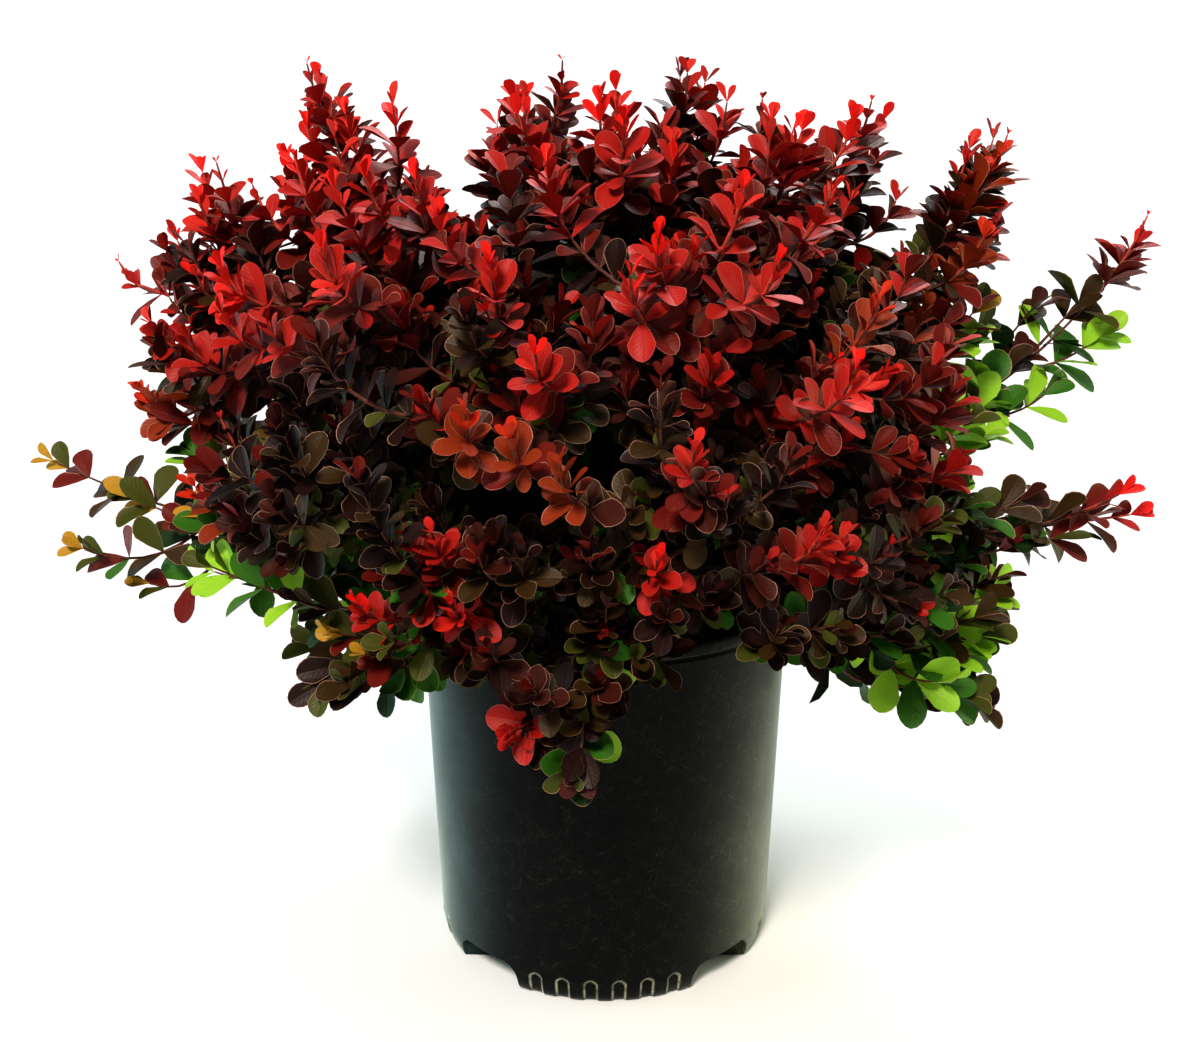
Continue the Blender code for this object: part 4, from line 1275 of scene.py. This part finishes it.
def turned(profile, pressed_rings):
    """Turn a profile into a closed solid; the first rings get the recesses pressed in."""
    vertices, faces, wear, rings = [], [], [], []
    for index, (radius, height) in enumerate(profile):
        rings.append(len(vertices))
        for step in range(WALL_STEPS):
            degrees = 360.0 * step / WALL_STEPS
            pressed = recess(degrees, height) if index < pressed_rings else 0.0
            out = radius - RECESS_DEPTH * pressed
            angle = math.radians(degrees - 90.0)
            vertices.append((out * math.cos(angle), out * math.sin(angle), height))
            wear.append(4 * pressed * (1 - pressed))
    for low, high in zip(rings, rings[1:]):
        for step in range(WALL_STEPS):
            after = (step + 1) % WALL_STEPS
            faces.append((low + step, low + after, high + after, high + step))
    for ring, flip in ((rings[0], True), (rings[-1], False)):
        face = tuple(range(ring, ring + WALL_STEPS))
        faces.append(face[::-1] if flip else face)
    return vertices, faces, wear


# %% [markdown]
# The pot's finish
# Black polyethylene is satin: a broad soft sheen, no sharp mirror. Handling leaves fine scratches
# and a dusting of pale dry soil, thickest low on the right side; that side is also lightened
# towards its edge as a painted reflection of the warm side light. The left edge carries a painted
# teal reflection of the cool side light. The worn lips of the recesses are paler too, and their
# place is stored in the mesh as an attribute, so it follows the shape exactly.


# %% Blow-moulded polyethylene
def blended(tree, share, first, second):
    """A colour blended from two; either may be a link or a plain colour."""
    made = add(tree, "ShaderNodeMix", data_type="RGBA", clamp_factor=True)
    tree.links.new(share, made.inputs[0])
    for slot, value in ((6, first), (7, second)):
        if isinstance(value, list):
            made.inputs[slot].default_value = value
        else:
            tree.links.new(value, made.inputs[slot])
    return made.outputs[2]


def noise_of(tree, place, size, detail=3.0):
    """Noise whose grain has a real size."""
    return add(tree, "ShaderNodeTexNoise", {"Vector": place},
               {"Scale": 1 / size, "Detail": detail, "Roughness": 0.6}).outputs["Fac"]


def scratches(tree, wall, slant):
    """Fine scratches that run across the wall at a slant (degrees), in patches only."""
    along = add(tree, "ShaderNodeMapping", {"Vector": wall},
                {"Rotation": (0.0, 0.0, math.radians(slant)), "Scale": (16.0, 1.0, 1.0)},
                vector_type="TEXTURE")
    fine = ranged(tree, noise_of(tree, along.outputs[0], 0.55 * MM, 2.0), 0.58, 0.72)
    patches = ranged(tree, noise_of(tree, along.outputs[0], 9 * MM, 2.0), 0.46, 0.62)
    return calculated(tree, "MULTIPLY", fine, patches)


def pot_finish():
    """Satin black plastic: painted side reflections, dust on its right, scratches, pale worn
    recess lips.
    """
    made, tree, output = new_material("blow_moulded_black_polyethylene")
    place = add(tree, "ShaderNodeTexCoord").outputs["Object"]
    parts = add(tree, "ShaderNodeSeparateXYZ", {"Vector": place})
    x, y, z = (parts.outputs[axis] for axis in "XYZ")
    around = calculated(tree, "ARCTAN2", x, calculated(tree, "MULTIPLY", y, -1.0))
    wall = add(tree, "ShaderNodeCombineXYZ",
               {"X": calculated(tree, "MULTIPLY", around, BASE_RADIUS), "Y": z}).outputs[0]
    cloud = noise_of(tree, place, 42 * MM, 6.0)
    grain = noise_of(tree, place, 1.1 * MM, 2.0)
    smear = noise_of(tree, place, 7 * MM, 4.0)
    marks = calculated(tree, "MAXIMUM", scratches(tree, wall, -38.0), scratches(tree, wall, 24.0))
    marks = calculated(tree, "MAXIMUM", marks, scratches(tree, wall, 74.0))
    mottled = calculated(tree, "MULTIPLY", ranged(tree, cloud, 0.28, 0.66, 0.45, 1.0),
                         ranged(tree, grain, 0.30, 0.62, 0.70, 1.0))
    # Painted reflection: a teal tint towards the left edge stands in for the cool side light's
    # reflection
    painted_cool_reflection = calculated(tree, "POWER", ranged(tree, x, -34 * MM, -112 * MM), 3.9)
    painted_cool_reflection = calculated(tree, "MULTIPLY", painted_cool_reflection, mottled)
    # Dust and painted edge light: a pale olive tint towards the right edge, stronger low down;
    # part dust,
    # part a painted reflection of the warm side light
    dust_and_painted_edge_light = calculated(tree, "POWER", ranged(tree, x, 14 * MM, 112 * MM), 4.1)
    low = ranged(tree, z, 200 * MM, 30 * MM, 0.55, 1.0)
    dust_and_painted_edge_light = calculated(tree, "MULTIPLY", calculated(tree, "MULTIPLY", dust_and_painted_edge_light, low), mottled)
    struck = calculated(tree, "MULTIPLY", marks, ranged(tree, dust_and_painted_edge_light, 0.0, 0.4, 0.10, 0.85))
    specks = ranged(tree, grain, 0.71, 0.78, 0.0, 0.20)
    base = blended(tree, calculated(tree, "MULTIPLY", painted_cool_reflection, 0.95), linear("#040506"),
                   linear("#648E93"))
    base = blended(tree, calculated(tree, "MULTIPLY", dust_and_painted_edge_light, 0.98), base, linear("#90957A"))
    base = blended(tree, calculated(tree, "MAXIMUM", struck, specks), base, linear("#9A9C84"))
    worn = add(tree, "ShaderNodeAttribute", attribute_name="wear").outputs["Fac"]
    broken = calculated(tree, "MULTIPLY", ranged(tree, smear, 0.38, 0.60, 0.25, 1.0),
                        ranged(tree, grain, 0.32, 0.52, 0.45, 1.0))
    lips = calculated(tree, "MULTIPLY", worn, broken)
    colour = blended(tree, lips, base, linear("#B4B59C"))
    bump = add(tree, "ShaderNodeBump", {"Height": cloud}, {"Strength": 0.2, "Distance": 1.0 * MM})
    fine = add(tree, "ShaderNodeBump", {"Height": grain, "Normal": bump.outputs["Normal"]},
               {"Strength": 0.2, "Distance": 0.2 * MM})
    shader = add(tree, "ShaderNodeBsdfPrincipled",
                 {"Base Color": colour, "Normal": fine.outputs["Normal"]},
                 {"Roughness": 0.42, "Specular IOR Level": 0.07, "Sheen Weight": 0.75,
                  "Sheen Roughness": 0.30, "Sheen Tint": linear("#DCE8DF")})
    tree.links.new(shader.outputs[0], output.inputs["Surface"])
    return made


polyethylene = pot_finish()


def arch_block(turn, grow, bottom):
    """The block an arch takes away, narrower inside, grown by a wall's thickness."""
    outline = [(ARCH_HALF_WIDTH + grow, bottom)]
    corner = ARCH_CORNER + grow
    steps = 10
    for step in range(steps + 1):
        angle = 0.5 * math.pi * step / steps
        outline.append((ARCH_HALF_WIDTH + grow - corner * (1 - math.cos(angle)),
                        ARCH_HEIGHT + grow - corner * (1 - math.sin(angle))))
    outline += [(-across, height) for across, height in reversed(outline)]
    narrow = (ARCH_INNER_HALF_WIDTH + grow) / (ARCH_HALF_WIDTH + grow)
    sections = ((ARCH_INNER_RADIUS - grow, narrow), (ARCH_FACE_RADIUS - 0.5 * grow, 1.0),
                (OUTSIDE, 1.0))
    spin = Matrix.Rotation(math.radians(turn), 3, "Z")
    corners = [spin @ Vector((across * share, -out, height))
               for out, share in sections for across, height in outline]
    count = len(outline)
    last = count * len(sections) - 1
    sides = [tuple(range(count)), tuple(range(last, last - count, -1))]
    for first in range(0, last - count, count):
        for index in range(count):
            after = (index + 1) % count
            low, high = first + index, first + after
            sides += [(low, high, count + high), (low, count + high, count + low)]
    return mesh_piece("arch", corners, sides, polyethylene)


def boolean(target, others, operation):
    """Cut or join the others, apply, and remove them."""
    for other in others:
        modifier = target.modifiers.new("cut", "BOOLEAN")
        modifier.operation = operation
        modifier.solver = "EXACT"
        modifier.object = other
    evaluated = target.evaluated_get(bpy.context.evaluated_depsgraph_get())
    mesh = bpy.data.meshes.new_from_object(evaluated)
    target.modifiers.clear()
    target.data = mesh
    for other in others:
        bpy.data.objects.remove(other, do_unlink=True)


turns = [ARCH_TURN, 180.0 - ARCH_TURN, 180.0 + ARCH_TURN, 360.0 - ARCH_TURN]
vertices, faces, wear = turned(outer, 17)
pot = mesh_piece("nursery_pot", vertices, faces, polyethylene)
pot.data.attributes.new("wear", "FLOAT", "POINT").data.foreach_set("value", wear)
vertices, faces, wear = turned(inner, 0)
cavity = mesh_piece("cavity", vertices, faces, polyethylene)
boolean(cavity, [arch_block(turn, POT_WALL, -5 * MM) for turn in turns], "DIFFERENCE")
boolean(pot, [arch_block(turn, 0.0, -5 * MM) for turn in turns], "DIFFERENCE")
boolean(pot, [cavity], "DIFFERENCE")
pot.data.shade_smooth()
pot.data.set_sharp_from_angle(angle=math.radians(38))
print("pot:", len(pot.data.polygons), "faces")

# %% [markdown]
# The potting mix
# Only a dark glimpse of it shows. It is a rough bed of composted bark, so the surface is a disc
# pushed up and down.

# %% Soil bed
soil_finish = bark_finish("moist_composted_bark", linear("#120C08"), linear("#3A281B"))
SOIL_RINGS = 26
SOIL_STEPS = 96
soil_radius = wall_radius(SOIL_TOP) - POT_WALL - CLEAR
vertices, faces = [Vector((0, 0, SOIL_TOP))], []
bumps = random.Random(SEED)
for ring in range(1, SOIL_RINGS + 1):
    for step in range(SOIL_STEPS):
        angle = 2 * math.pi * step / SOIL_STEPS
        out = soil_radius * ring / SOIL_RINGS
        drop = 2.2 * MM * bumps.random() if ring < SOIL_RINGS else 1.5 * MM
        vertices.append(Vector((out * math.cos(angle), out * math.sin(angle),
                                SOIL_TOP - drop)))
for step in range(SOIL_STEPS):
    faces.append((0, 1 + step, 1 + (step + 1) % SOIL_STEPS))
for ring in range(SOIL_RINGS - 1):
    for step in range(SOIL_STEPS):
        after = (step + 1) % SOIL_STEPS
        low, high = 1 + ring * SOIL_STEPS, 1 + (ring + 1) * SOIL_STEPS
        faces.append((low + step, high + step, high + after, low + after))
rim = 1 + (SOIL_RINGS - 1) * SOIL_STEPS
base_ring = len(vertices)
for step in range(SOIL_STEPS):
    angle = 2 * math.pi * step / SOIL_STEPS
    out = wall_radius(20 * MM) - POT_WALL - CLEAR
    vertices.append(Vector((out * math.cos(angle), out * math.sin(angle), 20 * MM)))
for step in range(SOIL_STEPS):
    after = (step + 1) % SOIL_STEPS
    faces.append((rim + step, base_ring + step, base_ring + after, rim + after))
faces.append(tuple(range(base_ring, base_ring + SOIL_STEPS))[::-1])
soil = mesh_piece("potting_mix", vertices, faces, soil_finish)

for piece in pieces:
    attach(piece, "root")
    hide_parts(*foliage_nodes)
for piece in (twigs, new_twigs):
    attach(piece, "root")
    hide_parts(*foliage_nodes)
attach(canes, "root")
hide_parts(*["cane_" + mass.name for mass in masses])
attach(root_crown, "root")
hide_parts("root_crown")
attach(pot, "root")
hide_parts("pot")
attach(soil, "root")
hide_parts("soil")
